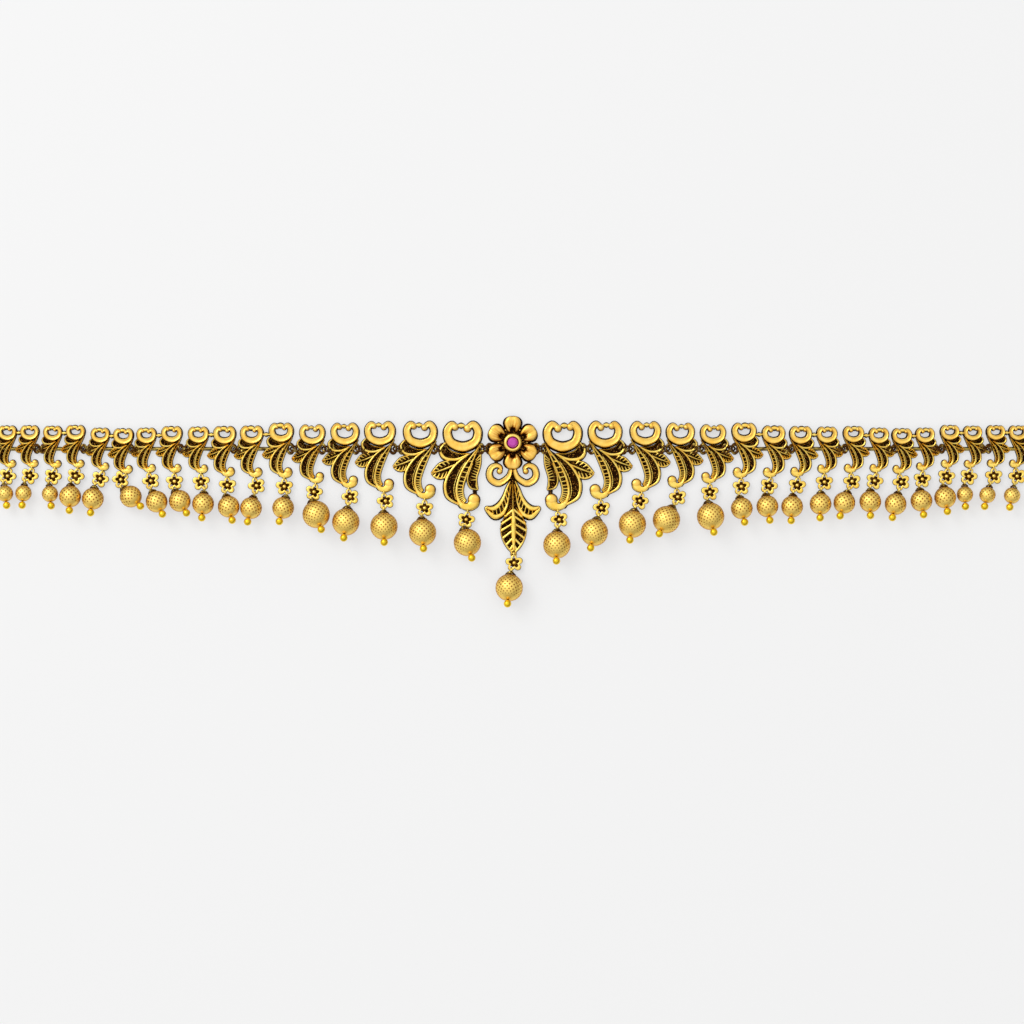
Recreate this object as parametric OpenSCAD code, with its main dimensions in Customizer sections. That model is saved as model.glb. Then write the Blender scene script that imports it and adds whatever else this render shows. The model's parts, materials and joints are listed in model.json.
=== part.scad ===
/* [Plates] */
// Thickness of a plate's flat back, up to the floor of its dark recesses
back_t = 1.4; // [1.4:0.1:1.6]
// Height of the thin rims, rungs and veins above the surface
rim_top = 2.2; // [2.1:0.1:2.4]
// Height of the hearts, petals and curl ends above the surface
heart_top = 2.8; // [2.7:0.1:3.4]
// Height of a ring's hole in a plate, at the middle of its eye
eye_z = 1.7; // [1.7:0.05:1.8]
// Thickness of an eye that a ring passes through
eye_t = 0.6; // [0.5:0.05:0.7]
// How far below the stone's centre the rings between plates lie
join_drop = 2.2; // [2:0.1:2.6]

/* [Centre plaque] */
// Distance from the stone's centre to a petal's tip
petal_reach = 9.8; // [9.4:0.1:10]
// Radius of a petal's round end
petal_r = 3.15; // [2.9:0.05:3.2]
// Radius of the collar that holds the stone
collar_r = 3.3; // [3.1:0.1:3.6]
// Height of the collar above the surface
collar_top = 4.2; // [4:0.1:4.6]
// Radius of the stone
stone_r = 2; // [1.8:0.1:2.2]

/* [Drops] */
// Radius of the little flowers, to the tip of a petal
flower_r = 3.25; // [3.2:0.05:3.3]
// Thickness of a little flower
flower_t = 0.7; // [0.6:0.1:0.7]
// Radius of the large beads, on the plaque and the single links
bead_large = 5; // [4.8:0.1:5]
// Radius of the medium beads
bead_medium = 4; // [3.8:0.1:4]
// Radius of the small beads, at both ends of the row
bead_small = 3; // [2.8:0.1:3]
// Radius of the ball at the end of a bead's pin
ball_r = 1.4; // [1.2:0.1:1.5]
// Thickness of the pins and of the rings that carry the flowers
fine_wire = 0.5; // [0.4:0.05:0.5]

/* [Chains] */
// Middle radius of a chain ring
chain_r = 3.65; // [3.5:0.05:3.8]
// Wire thickness of a chain ring
chain_wire = 1; // [0.9:0.05:1]
// Number of rings in each chain
chain_count = 29; // [20:1:29]
// Tilt of the chain rings, each the other way from its neighbour
chain_tilt = 30; // [29:1:34]

/* [Hook and end ring] */
// Wire thickness of the hook
hook_wire = 1.6; // [1.4:0.1:1.8]
// Length of the hook's straight shank
hook_shank = 9; // [7:0.5:12]
// Middle radius of the hook's bend
hook_bend_r = 2.7; // [2.4:0.1:2.7]
// Middle radius of the hook's own eye
hook_eye_r = 2.2; // [2.2:0.1:2.6]
// Length of the hook's straight tip
hook_tip = 3; // [2:0.5:4]
// Middle radius of the end ring
end_ring_r = 3.2; // [3:0.1:3.2]
// Wire thickness of the end ring
end_ring_wire = 1.4; // [1.4:0.1:1.6]

/* [Hidden] */
$fn = 32;
// Clear space between pieces that are linked but loose
slack = 0.15;
// How far an upper layer is sunk into the one below it
sink = 0.1;
// Step in from the edge of one layer to the next
ledge = 0.06;
// How far a cut runs past what it cuts
CUT = 1;
// Height of the loose rings above the surface
FLOOR_GAP = 0.02;

LEFT = -1;
RIGHT = 1;
SIDES = [LEFT, RIGHT];

// One row per heart motif, counted outward from the plaque
MOTIF_X = 0;
MOTIF_W = 1;
MOTIF_TOP = 2;
// Distance from the stone, width of the heart, height of its top above the stone's centre
MOTIFS = [
    [18.2, 14.0, 8.1], [33.6, 12.2, 8.1], [48.3, 11.1, 8.0], [61.0, 10.2, 7.4], [72.9, 9.2, 6.8],
    [84.2, 8.5, 7.2], [94.9, 8.0, 6.2], [104.8, 7.8, 6.0], [114.3, 7.2, 5.8], [124.0, 7.2, 6.0],
    [133.2, 6.9, 5.4], [141.6, 7.0, 5.2], [150.0, 6.6, 5.4], [159.0, 6.6, 6.4], [167.3, 6.5, 6.1],
    [175.7, 6.5, 6.3], [183.8, 6.5, 6.2]
];
LINKS = 5;
PAIRS = 6;
// Shares of a heart's width from its middle to where its plate ends, outward and toward the plaque
PLATE_OUTER = 0.6;
PLATE_INNER = 0.5;

// One row per drop: lean of the flower, petal that carries the pin, lean of the pin
// Leans are in degrees from straight down, toward +X; a petal of -1 is the lower left one
DROP_FLOWER = 0;
DROP_PETAL = 1;
DROP_PIN = 2;
CENTRE_DROP = [4, -1, -6];
LEFT_DROPS = [
    [-14, -1, 16], [0, -1, 4], [16, -1, 2], [16, -1, -6], [-14, -1, 20],
    [2, 1, -14], [20, -1, -12], [2, -1, 16], [2, 1, -3], [2, -1, 31],
    [20, -1, 27], [-58, 1, 47], [-24, -1, -6], [-22, -1, 0], [-20, -1, 8],
    [-22, -1, -4], [-20, -1, 10]
];
RIGHT_DROPS = [
    [16, -1, -2], [8, -1, -14], [-16, -1, -10], [10, -1, -28], [0, -1, 10],
    [2, -1, 10], [-18, -1, 8], [-8, -1, -6], [0, -1, -4], [10, -1, -20],
    [-18, -1, -2], [18, -1, -16], [-4, -1, 6], [-10, -1, 6], [-16, -1, 0],
    [4, -1, -16], [14, -1, -14]
];

// The heart motif, as shares of the heart's width, with +X toward the plaque
// A stroke's rows hold x, y and its width there
HEART = [
    [-0.16, -0.20, 0.10], [-0.28, -0.10, 0.14], [-0.41, -0.30, 0.18], [-0.31, -0.59, 0.19],
    [0.01, -0.72, 0.20], [0.32, -0.58, 0.19], [0.41, -0.30, 0.18], [0.27, -0.09, 0.16], [0.08, -0.21, 0.11]
];
HEART_CURLS = [[-0.20, -0.17, 0.08], [0.125, -0.225, 0.09]];
HEART_BAR = [[-0.15, -0.15, 0.05], [0.06, -0.15, 0.05]];
CRESCENT = [
    [-0.45, -0.58, 0.04], [-0.585, -0.76, 0.07], [-0.47, -0.98, 0.09], [-0.16, -1.02, 0.08],
    [0.16, -0.88, 0.05]
];
LEAF = [
    [-0.25, -1.02], [-0.60, -1.12], [-0.72, -1.28], [-0.82, -1.36], [-0.70, -1.48], [-0.50, -1.51],
    [-0.26, -1.30]
];
LEAF_VEIN = [[-0.20, -1.17, 0.06], [-0.46, -1.27, 0.06], [-0.76, -1.37, 0.05]];
LOBE = [
    [0.17, -0.87, 0.04], [-0.20, -1.17, 0.06], [-0.44, -1.58, 0.07], [-0.41, -1.97, 0.07],
    [-0.10, -2.18, 0.05]
];
STEM_OUTER = [
    [0.40, -0.72, 0.05], [0.02, -1.24, 0.07], [-0.15, -1.70, 0.07], [-0.12, -2.03, 0.08], [0.02, -2.23, 0.10]
];
STEM_INNER = [
    [0.46, -0.62, 0.04], [0.17, -1.26, 0.05], [0.015, -1.72, 0.05], [0.05, -2.00, 0.05], [0.15, -2.11, 0.05]
];
STEM_CURL = [[-0.02, -2.15, 0.12], [0.15, -2.245, 0.22], [0.33, -2.17, 0.30]];
STEM_BALL = [0.33, -2.12, 0.165];
// Place along the stem of the first and last rung, in spans between its points, and their spacing
RUNG_FIRST = 0.6;
RUNG_LAST = 3.8;
RUNG_STEP = 0.4;
RUNG_W = 0.05;
// Corners that close the crescent's recess under the heart
CRESCENT_TOP = [[0, -0.72], [-0.3, -0.6]];
// Inner leaf that only the first link has, its far edge facing the plaque
SPUR_OUTER = [[0.26, -1.12, 0.05], [0.13, -1.50, 0.05], [0.20, -1.74, 0.05], [0.38, -1.78, 0.05]];
SPUR_INNER = [[0.47, -0.66, 0.04], [0.46, -1.12, 0.05], [0.36, -1.50, 0.05], [0.38, -1.76, 0.05]];
SPUR_NECK = [[0.31, -1.76, 0.08], [0.33, -2.02, 0.08]];
SPUR_RUNG_FIRST = 0.8;
SPUR_RUNG_LAST = 2.4;
// Lowest point of the motif, and where along it the drop hangs
FOOT_Y = -2.36;
FOOT_X = 0.13;
// Where the eyes at the two sides reach into the motif, high up and low down on it
EYE_INNER_HIGH = 0.36;
EYE_INNER_LOW = 0.1;
EYE_OUTER = -0.44;
// Share of the width below a heart's top where its sides end and the stem takes over
HEART_SHOULDER = -0.9;

// The two bars of a pair: width, heights above the back, share of a heart's width that the upper one
// starts from its middle, and that it lies below its top
BAR_W = 1;
UPPER_BAR_RISE = 0.4;
LOWER_BAR_RISE = 0.2;
UPPER_BAR_FROM = 0.42;
UPPER_BAR_DROP = 0.4;

// The plaque's petals: half width where they start, how far the straight sides stop short of the round
// end's middle, how far past the collar they are one piece, and how far the plaque's own eyes reach in
PETAL_ROOT = 1;
PETAL_WAIST = 0.4;
PETAL_MIDDLE = 1.5;
PLAQUE_EYE_FROM = 5.5;
// How far short of the petals' tips the plaque ends at its rings
PLAQUE_EDGE = 0.9;

// The plaque below its flower, left half, in millimetres from the stone's centre
SCROLL = [
    [-0.5, -9.8, 1.3], [-1.6, -12.6, 1.8], [-4.9, -14.9, 2.1], [-7.8, -13.6, 2.1], [-8.7, -11.3, 2.0],
    [-7.8, -9.0, 1.9], [-5.9, -8.2, 1.7], [-4.4, -9.0, 1.5], [-4.4, -10.4, 1.3]
];
SCROLL_BALL = [-4.7, -10.5, 0.95];
SCROLL_NECK = [[-6.0, -5.8, 1], [-6.0, -8, 1]];
HORN = [
    [-0.2, -14.2], [-1.5, -16.2], [-2.4, -19.7], [-4.3, -22.3], [-6.9, -23.6], [-9.7, -23.2],
    [-9.3, -25.4], [-7.3, -27.3], [-4.9, -27.8], [-2.4, -26.0], [-0.9, -22.5], [-0.1, -18]
];
HORN_BEADS = [[-1.5, -18.2], [-2.2, -21.3], [-3.7, -23.9], [-5.9, -25.4], [-8.3, -24.8]];
HORN_BEAD_R = 0.5;
HORN_RIM = 0.75;
PLAQUE_STEM = [[0, -8.6, 2.6], [0, -13, 1.7], [0, -17, 2], [0, -23, 3.6], [0, -27, 6]];
PLAQUE_LEAF = [
    [0.2, -24], [2.8, -26], [4.5, -29.2], [5.0, -32], [4.2, -35.2], [2.4, -38], [0.4, -40],
    [-1.6, -38], [-3.5, -35.2], [-4.3, -32], [-3.9, -29.2], [-2.3, -26]
];
PLAQUE_MIDRIB = [[0, -15, 0.8], [0.1, -22, 1.2], [0.2, -29, 1.7], [0.4, -39.4, 1.1]];
PLAQUE_LEAF_RIM = 0.4;
// Side ribs of the long leaf: place and number of the first ones, spacing, slope, length and width
RIB_FROM = [0.3, -26.2];
RIB_COUNT = 5;
RIB_STEP = 2.5;
RIB_SLOPE = 35;
RIB_LENGTH = 6;
RIB_W = 0.6;
PLAQUE_FOOT = [0.4, -40.6];

// The stone: depth of its pit, radii of its foot and table as shares of its own, and heights of its parts
STONE_PIT = 1.2;
STONE_FOOT = 0.7;
STONE_TABLE = 0.58;
STONE_LOWER_H = 0.5;
STONE_GIRDLE_H = 0.3;
STONE_CROWN_H = 0.7;
STONE_FLAT = 0.1;

// Rings of the joins between plates, large and small, and of the chains' two ends
BIG_RING_R = 1.6;
BIG_RING_WIRE = 0.7;
SMALL_RING_R = 1.2;
SMALL_RING_WIRE = 0.6;
JUMP_RING_R = 2.1;
JUMP_RING_WIRE = 0.8;
RING_TILT = 35;
// Room round a ring's wire in its hole, and the wall that an eye has where there is space
HOLE_ROOM = 0.44;
EYE_WALL = 0.65;
// Width of the bar behind an eye, as a share of the eye's radius
EYE_BAR = 1.4;
// How far below level an end piece's wire lies in the ring that holds it
END_HOLD_ANGLE = 50;
// Joins up to this one, counted from the plaque, have the large rings
BIG_JOINS = 5;
LAST_JOIN = LINKS + PAIRS;

// Rings that carry the flowers, and the loops of the pins
DROP_RING_R = 0.95;
DROP_HOLE_R = 0.46;
FOOT_EYE_R = 1;
PIN_LOOP_R = 1;
PIN_HOLE_R = 0.5;
PETAL_SMALL_R = 1.25;
EYE_PETAL_R = 0.95;
FLOWER_EYE = 2.15;
FLOWER_HEART_R = 1.6;
FLOWER_BOSS_R = 0.85;
FLOWER_BOSS_RISE = 0.6;
BORE_SLACK = 0.15;
// Share of what a bead's radius is over this one that shows as bare wire above the bead
NECK_SHARE = 0.275;
NECK_FROM = 2;
// Drops up to these ones, counted from the plaque, have the large and the medium beads
LARGE_DROPS = 5;
MEDIUM_DROPS = 14;

CHAIN_PITCH = 2 * chain_r - chain_wire - slack;
CHAIN_Z = chain_r * sin(chain_tilt) + chain_wire / 2 + FLOOR_GAP;
JUMP_Z = JUMP_RING_R + JUMP_RING_WIRE / 2 + FLOOR_GAP;

GOLD = "#d8a032";
DARK_GOLD = "#7a4a14";
PINK = "#d060d0";

side_names = ["left", "right"];

// Points of a smooth curve through the given ones, whatever columns they have
function curve(p, steps) = [
    for (i = [0:len(p) - 2], j = [0:steps - 1])
        between(p[max(i - 1, 0)], p[i], p[i + 1], p[min(i + 2, len(p) - 1)], j / steps),
    p[len(p) - 1]
];

// The same for a closed outline
function closed_curve(p, steps) = [
    for (i = [0:len(p) - 1], j = [0:steps - 1])
        between(p[(i + len(p) - 1) % len(p)], p[i], p[(i + 1) % len(p)], p[(i + 2) % len(p)], j / steps)
];

function between(a, b, c, d, t) =
    0.5 * (2 * b + (c - a) * t + (2 * a - 5 * b + 4 * c - d) * t * t + (3 * b - a - 3 * c + d) * t * t * t);

// Point of an open curve at a place counted in spans between its points
function place(p, u) =
    let (i = min(floor(u), len(p) - 2))
    between(p[max(i - 1, 0)], p[i], p[i + 1], p[min(i + 2, len(p) - 1)], u - i);

function flat(p) = [p[0], p[1]];

function turned(p) = [-p[1], p[0]];

function unit(p) = p / norm(p);

// Edge of a stroke, half its width away on one side
function stroke_edge(c, way) = [
    for (i = [0:len(c) - 1])
        let (ahead = flat(c[min(i + 1, len(c) - 1)]) - flat(c[max(i - 1, 0)]))
        flat(c[i]) + turned(unit(ahead)) * way * c[i][2] / 2
];

function backward(p) = [for (i = [len(p) - 1:-1:0]) p[i]];

module stroke(rows, steps = 2) {
    c = curve(rows, steps);
    polygon(concat(stroke_edge(c, 1), backward(stroke_edge(c, -1))));
}

module dot(row) {
    translate(flat(row)) circle(r = row[2], $fn = 14);
}

// One layer of a plate, drawn from the overlapping shapes of its outline
module layer(from, to, inset = 0) {
    translate([0, 0, from]) linear_extrude(to - from) offset(delta = -inset) children();
}

// Bars across the space between two curves
module rungs(outer, inner, first, last, step, width) {
    for (u = [first:step:last]) {
        a = flat(place(outer, u));
        b = flat(place(inner, u));
        across = turned(unit(b - a)) * width / 2;
        polygon([a + across, b + across, b - across, a - across]);
    }
}

module between_curves(outer, inner) {
    polygon([for (p = concat(curve(outer, 2), backward(curve(inner, 2)))) flat(p)]);
}

module heart_shape(large) {
    stroke(HEART, large ? 3 : 2);
    for (row = HEART_CURLS) dot(row);
}

module leaf_shape() {
    polygon(closed_curve(LEAF, 2));
}

module spur_shape() {
    between_curves(SPUR_OUTER, SPUR_INNER);
}

// The thin raised lines of a motif
module rim_shape(large, spur) {
    stroke(CRESCENT);
    stroke(LOBE);
    stroke(STEM_OUTER);
    stroke(STEM_INNER);
    stroke(STEM_CURL);
    rungs(STEM_OUTER, STEM_INNER, RUNG_FIRST, RUNG_LAST, large ? RUNG_STEP : 2 * RUNG_STEP, RUNG_W);
    stroke(LEAF_VEIN);
    if (spur) {
        stroke(SPUR_OUTER);
        stroke(SPUR_INNER);
        rungs(SPUR_OUTER, SPUR_INNER, SPUR_RUNG_FIRST, SPUR_RUNG_LAST, RUNG_STEP, RUNG_W);
    }
}

// The whole outline of a motif, with only the heart and the curl's window open
module back_shape(large, spur) {
    heart_shape(large);
    rim_shape(large, spur);
    dot(STEM_BALL);
    stroke(HEART_BAR, 1);
    polygon([for (p = concat(curve(CRESCENT, 2), CRESCENT_TOP)) flat(p)]);
    leaf_shape();
    between_curves(LOBE, STEM_OUTER);
    between_curves(STEM_OUTER, STEM_INNER);
    if (spur) {
        spur_shape();
        stroke(SPUR_NECK, 1);
    }
}

// A motif's shapes at their place, with +X turned toward the plaque on either side
module placed(side, row) {
    translate([side * row[MOTIF_X], row[MOTIF_TOP]])
        scale(row[MOTIF_W])
            mirror([side > 0 ? 1 : 0, 0])
                children();
}

function motif(i) = MOTIFS[i - 1];

function inner_edge(i) = motif(i)[MOTIF_X] - PLATE_INNER * motif(i)[MOTIF_W];

function outer_edge(i) = motif(i)[MOTIF_X] + PLATE_OUTER * motif(i)[MOTIF_W];

function foot(side, i) = [
    side * (motif(i)[MOTIF_X] - FOOT_X * motif(i)[MOTIF_W]),
    motif(i)[MOTIF_TOP] + FOOT_Y * motif(i)[MOTIF_W]
];

// Last motif before a join, where join 0 is the one at the plaque
function motif_before(join) = join <= LINKS ? join : 2 * join - LINKS;

function join_x(join) =
    let (m = motif_before(join))
    m == 0 ? (petal_reach - PLAQUE_EDGE + inner_edge(1)) / 2
    : m == len(MOTIFS) ? outer_edge(m) + JUMP_RING_R / 2
    : (outer_edge(m) + inner_edge(m + 1)) / 2;

function join_ring_r(join) = join == LAST_JOIN ? JUMP_RING_R : join <= BIG_JOINS ? BIG_RING_R : SMALL_RING_R;

function join_wire(join) =
    join == LAST_JOIN ? JUMP_RING_WIRE : join <= BIG_JOINS ? BIG_RING_WIRE : SMALL_RING_WIRE;

// Space that a join's ring needs all round, cut through a plate but for its eye
module join_pocket(side, join) {
    half_x = join_ring_r(join) + join_wire(join) / 2 + slack;
    half_y = join_ring_r(join) * sin(RING_TILT) + join_wire(join) / 2 + slack;
    translate([side * join_x(join) - half_x, -join_drop - half_y, -CUT])
        cube([2 * half_x, 2 * half_y, heart_top + 2 * CUT]);
}

// Eye that a join's ring passes through, on a bar that reaches into the plate
module join_eye(side, join, toward, reach_x) {
    r = join_ring_r(join);
    hole = join_wire(join) / 2 + HOLE_ROOM;
    eye = min(r - slack, hole + EYE_WALL);
    off_middle = join == LAST_JOIN ? JUMP_Z - eye_z : 0;
    hole_x = side * (join_x(join) + toward * sqrt(r * r - off_middle * off_middle));
    translate([hole_x, -join_drop, eye_z - eye_t / 2])
        difference() {
            union() {
                cylinder(r = eye, h = eye_t);
                bar = abs(side * reach_x - hole_x);
                bar_w = eye * EYE_BAR;
                translate([side * toward > 0 ? 0 : -bar, -bar_w / 2, 0]) cube([bar, bar_w, eye_t]);
            }
            translate([0, 0, -CUT]) cylinder(r = hole, h = eye_t + 2 * CUT);
        }
}

// Slot for the small ring at a plate's foot
module foot_slot(at) {
    half = fine_wire / 2 + slack;
    translate([at[0] - half, at[1] - CUT, -CUT])
        cube([2 * half, CUT + DROP_RING_R + fine_wire / 2 + slack, heart_top + 2 * CUT]);
}

module foot_eye(at) {
    translate([at[0], at[1] + DROP_RING_R, eye_z - eye_t / 2])
        difference() {
            cylinder(r = FOOT_EYE_R, h = eye_t);
            translate([0, 0, -CUT]) cylinder(r = DROP_HOLE_R, h = eye_t + 2 * CUT);
        }
}

module motif_layers(side, i) {
    spur = i == 1;
    large = i <= LINKS;
    layer(0, back_t) placed(side, motif(i)) back_shape(large, spur);
    layer(back_t - sink, rim_top, ledge) placed(side, motif(i)) rim_shape(large, spur);
    layer(back_t - sink, heart_top, ledge)
        placed(side, motif(i)) {
            heart_shape(large);
            dot(STEM_BALL);
        }
}

function inner_reach(i) =
    let (m = motif(i), eye_y = (-join_drop - m[MOTIF_TOP]) / m[MOTIF_W])
    m[MOTIF_X] - m[MOTIF_W] * (eye_y > HEART_SHOULDER ? EYE_INNER_HIGH : EYE_INNER_LOW);

function outer_reach(i) = motif(i)[MOTIF_X] - EYE_OUTER * motif(i)[MOTIF_W];

// A cast plate from its first to its last motif
module plate(side, first, last) {
    inner_join = first <= LINKS ? first - 1 : (first + LINKS - 1) / 2;
    color(GOLD) {
        difference() {
            union() {
                for (i = [first:last]) motif_layers(side, i);
                if (last > first) pair_bars(side, first);
            }
            join_pocket(side, inner_join);
            join_pocket(side, inner_join + 1);
            for (i = [first:last]) foot_slot(foot(side, i));
        }
        join_eye(side, inner_join, 1, inner_reach(first));
        join_eye(side, inner_join + 1, -1, outer_reach(last));
        for (i = [first:last]) foot_eye(foot(side, i));
    }
}

// The two bars that hold a pair of motifs together
module pair_bars(side, first) {
    a = motif(first);
    b = motif(first + 1);
    from = side * (a[MOTIF_X] + UPPER_BAR_FROM * a[MOTIF_W]);
    to = side * (b[MOTIF_X] - UPPER_BAR_FROM * b[MOTIF_W]);
    upper_y = min([for (m = [a, b]) m[MOTIF_TOP] - UPPER_BAR_DROP * m[MOTIF_W]]);
    low_from = side * outer_reach(first);
    low_to = side * inner_reach(first + 1);
    layer(0, back_t + UPPER_BAR_RISE)
        translate([min(from, to), upper_y - BAR_W / 2]) square([abs(to - from), BAR_W]);
    layer(0, back_t + LOWER_BAR_RISE)
        translate([min(low_from, low_to), -join_drop - BAR_W / 2]) square([abs(low_to - low_from), BAR_W]);
}

module petal_shape() {
    far = petal_reach - petal_r;
    translate([far, 0]) circle(r = petal_r, $fn = 24);
    half = petal_r - sink;
    polygon([
        [PETAL_ROOT, -PETAL_ROOT], [far - PETAL_WAIST, -half],
        [far - PETAL_WAIST, half], [PETAL_ROOT, PETAL_ROOT]
    ]);
}

module petals_shape() {
    for (a = [30:60:330]) rotate(a) petal_shape();
}

module both_halves() {
    children();
    mirror([1, 0]) children();
}

module horn_shape() {
    polygon(closed_curve(HORN, 2));
}

module plaque_leaf_shape() {
    polygon(closed_curve(PLAQUE_LEAF, 2));
    translate(PLAQUE_FOOT + [0, FOOT_EYE_R]) circle(r = FOOT_EYE_R, $fn = 20);
}

module plaque_relief_shape() {
    both_halves() {
        difference() {
            horn_shape();
            offset(delta = -HORN_RIM) horn_shape();
        }
        for (p = HORN_BEADS) translate(p) circle(r = HORN_BEAD_R, $fn = 10);
    }
    difference() {
        plaque_leaf_shape();
        offset(delta = -PLAQUE_LEAF_RIM) plaque_leaf_shape();
    }
    stroke(PLAQUE_MIDRIB);
    intersection() {
        plaque_leaf_shape();
        for (i = [0:RIB_COUNT - 1], side = SIDES)
            translate(RIB_FROM - [0, RIB_STEP * i])
                rotate(side > 0 ? -RIB_SLOPE : 180 + RIB_SLOPE)
                    translate([0, -RIB_W / 2]) square([RIB_LENGTH, RIB_W]);
    }
}

module plaque_high_shape() {
    petals_shape();
    both_halves() {
        stroke(SCROLL);
        dot(SCROLL_BALL);
    }
}

module plaque_back_shape() {
    plaque_relief_shape();
    plaque_high_shape();
    circle(r = collar_r + PETAL_MIDDLE);
    stroke(PLAQUE_STEM);
    both_halves() {
        stroke(SCROLL_NECK, 1);
        horn_shape();
    }
    plaque_leaf_shape();
}

module centre_plaque() {
    color(GOLD) {
        difference() {
            union() {
                layer(0, back_t) plaque_back_shape();
                layer(back_t - sink, rim_top, ledge) plaque_relief_shape();
                layer(back_t - sink, heart_top, ledge) plaque_high_shape();
                cylinder(r = collar_r, h = collar_top);
            }
            translate([0, 0, stone_floor()]) cylinder(r = stone_r + slack, h = collar_top);
            for (side = SIDES) join_pocket(side, 0);
            foot_slot(PLAQUE_FOOT);
        }
        for (side = SIDES) join_eye(side, 0, -1, PLAQUE_EYE_FROM);
        foot_eye(PLAQUE_FOOT);
    }
}

function stone_floor() = collar_top - STONE_PIT;

// Faceted stone with a flat table and eight crown facets over eight below
module centre_stone() {
    crown_top = STONE_LOWER_H + STONE_GIRDLE_H + STONE_CROWN_H;
    color(PINK)
        translate([0, 0, stone_floor() + STONE_FLAT])
            hull() {
                linear_extrude(STONE_FLAT) circle(r = stone_r * STONE_FOOT, $fn = 8);
                translate([0, 0, STONE_LOWER_H]) linear_extrude(STONE_GIRDLE_H) circle(r = stone_r, $fn = 16);
                translate([0, 0, crown_top])
                    linear_extrude(STONE_FLAT) rotate(22.5) circle(r = stone_r * STONE_TABLE, $fn = 8);
            }
}

module ring(r, wire) {
    rotate_extrude() translate([r, 0]) circle(d = wire, $fn = 16);
}

module plate_rings(side) {
    color(DARK_GOLD)
        for (join = [0:LAST_JOIN - 1])
            translate([side * join_x(join), -join_drop, eye_z])
                rotate([90 - side * RING_TILT, 0, 0])
                    ring(join_ring_r(join), join_wire(join));
}

// Drops of one side, the plaque's own with those of the left
function drop_feet(side) = concat(
    side == LEFT ? [[PLAQUE_FOOT, CENTRE_DROP, 0]] : [],
    [for (i = [1:len(MOTIFS)]) [foot(side, i), side == LEFT ? LEFT_DROPS[i - 1] : RIGHT_DROPS[i - 1], i]]
);

module drop_rings(side) {
    color(DARK_GOLD)
        for (drop = drop_feet(side))
            translate([drop[0][0], drop[0][1], eye_z]) rotate([0, 90, 0]) ring(DROP_RING_R, fine_wire);
}

// Direction that a lean points in, seen from above
function leaning(a) = [sin(a), -cos(a)];

function flower_eye_at(drop) = drop[0] - [0, DROP_RING_R];

function flower_at(drop) = flower_eye_at(drop) + FLOWER_EYE * leaning(drop[1][DROP_FLOWER]);

function pin_hole_at(drop) =
    flower_at(drop) + (flower_r - PETAL_SMALL_R) * leaning(drop[1][DROP_FLOWER] + 36 * drop[1][DROP_PETAL]);

function bead_radius(i) = i <= LARGE_DROPS ? bead_large : i <= MEDIUM_DROPS ? bead_medium : bead_small;

// Bare wire between a pin's loop and its bead
function neck_length(r) = NECK_SHARE * (r - NECK_FROM);

function pin_reach(r) = PIN_LOOP_R + fine_wire / 2 + neck_length(r) + r;

function pin_pitch(r) = asin((r - eye_z) / pin_reach(r));

function bead_at(drop) =
    let (r = bead_radius(drop[2]))
    pin_hole_at(drop) + (PIN_LOOP_R + pin_reach(r) * cos(pin_pitch(r))) * leaning(drop[1][DROP_PIN]);

// Frame of a pin: X runs along it toward the ball end, with the bead's middle at the origin
module at_bead(drop) {
    r = bead_radius(drop[2]);
    translate([bead_at(drop)[0], bead_at(drop)[1], r])
        rotate([0, 0, drop[1][DROP_PIN] - 90])
            rotate([0, -pin_pitch(r), 0])
                children();
}

module drop_flowers(side) {
    color(GOLD)
        for (drop = drop_feet(side))
            translate([flower_at(drop)[0], flower_at(drop)[1], eye_z - flower_t / 2])
                rotate(drop[1][DROP_FLOWER])
                    flower(drop[1][DROP_PETAL]);
}

module flower(petal) {
    ring_at = flower_r - PETAL_SMALL_R;
    difference() {
        union() {
            cylinder(r = FLOWER_HEART_R, h = flower_t);
            cylinder(r = FLOWER_BOSS_R, h = flower_t + FLOWER_BOSS_RISE);
            translate([0, ring_at, 0]) cylinder(r = EYE_PETAL_R, h = flower_t);
            for (k = [1:4])
                rotate(90 + 72 * k) translate([ring_at, 0, 0]) cylinder(r = PETAL_SMALL_R, h = flower_t);
        }
        hole_h = flower_t + 2 * CUT;
        translate([0, FLOWER_EYE, -CUT]) cylinder(r = DROP_HOLE_R, h = hole_h);
        rotate(270 + 36 * petal) translate([ring_at, 0, -CUT]) cylinder(r = PIN_HOLE_R, h = hole_h);
    }
}

module pin(r) {
    loop_at = -pin_reach(r);
    ball_at = r + slack + ball_r;
    wire_from = loop_at + PIN_LOOP_R;
    rotate([90, 0, 0]) translate([loop_at, 0, 0]) ring(PIN_LOOP_R, fine_wire);
    translate([wire_from, 0, 0]) rotate([0, 90, 0]) cylinder(d = fine_wire, h = ball_at - wire_from);
    translate([ball_at, 0, 0]) sphere(r = ball_r);
}

module drop_pins(side) {
    color(DARK_GOLD)
        for (drop = drop_feet(side)) at_bead(drop) pin(bead_radius(drop[2]));
}

module bead(drop) {
    r = bead_radius(drop[2]);
    bore_r = fine_wire / 2 + BORE_SLACK;
    color(GOLD)
        at_bead(drop)
            rotate([0, 90, 0])
                rotate_extrude($fn = 48)
                    intersection() {
                        circle(r = r, $fn = 48);
                        translate([bore_r, -r]) square(2 * r);
                    }
}

function side_drop(side, i) = drop_feet(side)[side == LEFT ? i : i - 1];

JUMP_X = join_x(LAST_JOIN);
JUMP_HOLD = JUMP_RING_R - JUMP_RING_WIRE / 2 - chain_wire / 2 - slack + chain_r;
CHAIN_X = JUMP_X + JUMP_HOLD;
FAR_JUMP_X = CHAIN_X + (chain_count - 1) * CHAIN_PITCH + JUMP_HOLD;

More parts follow.
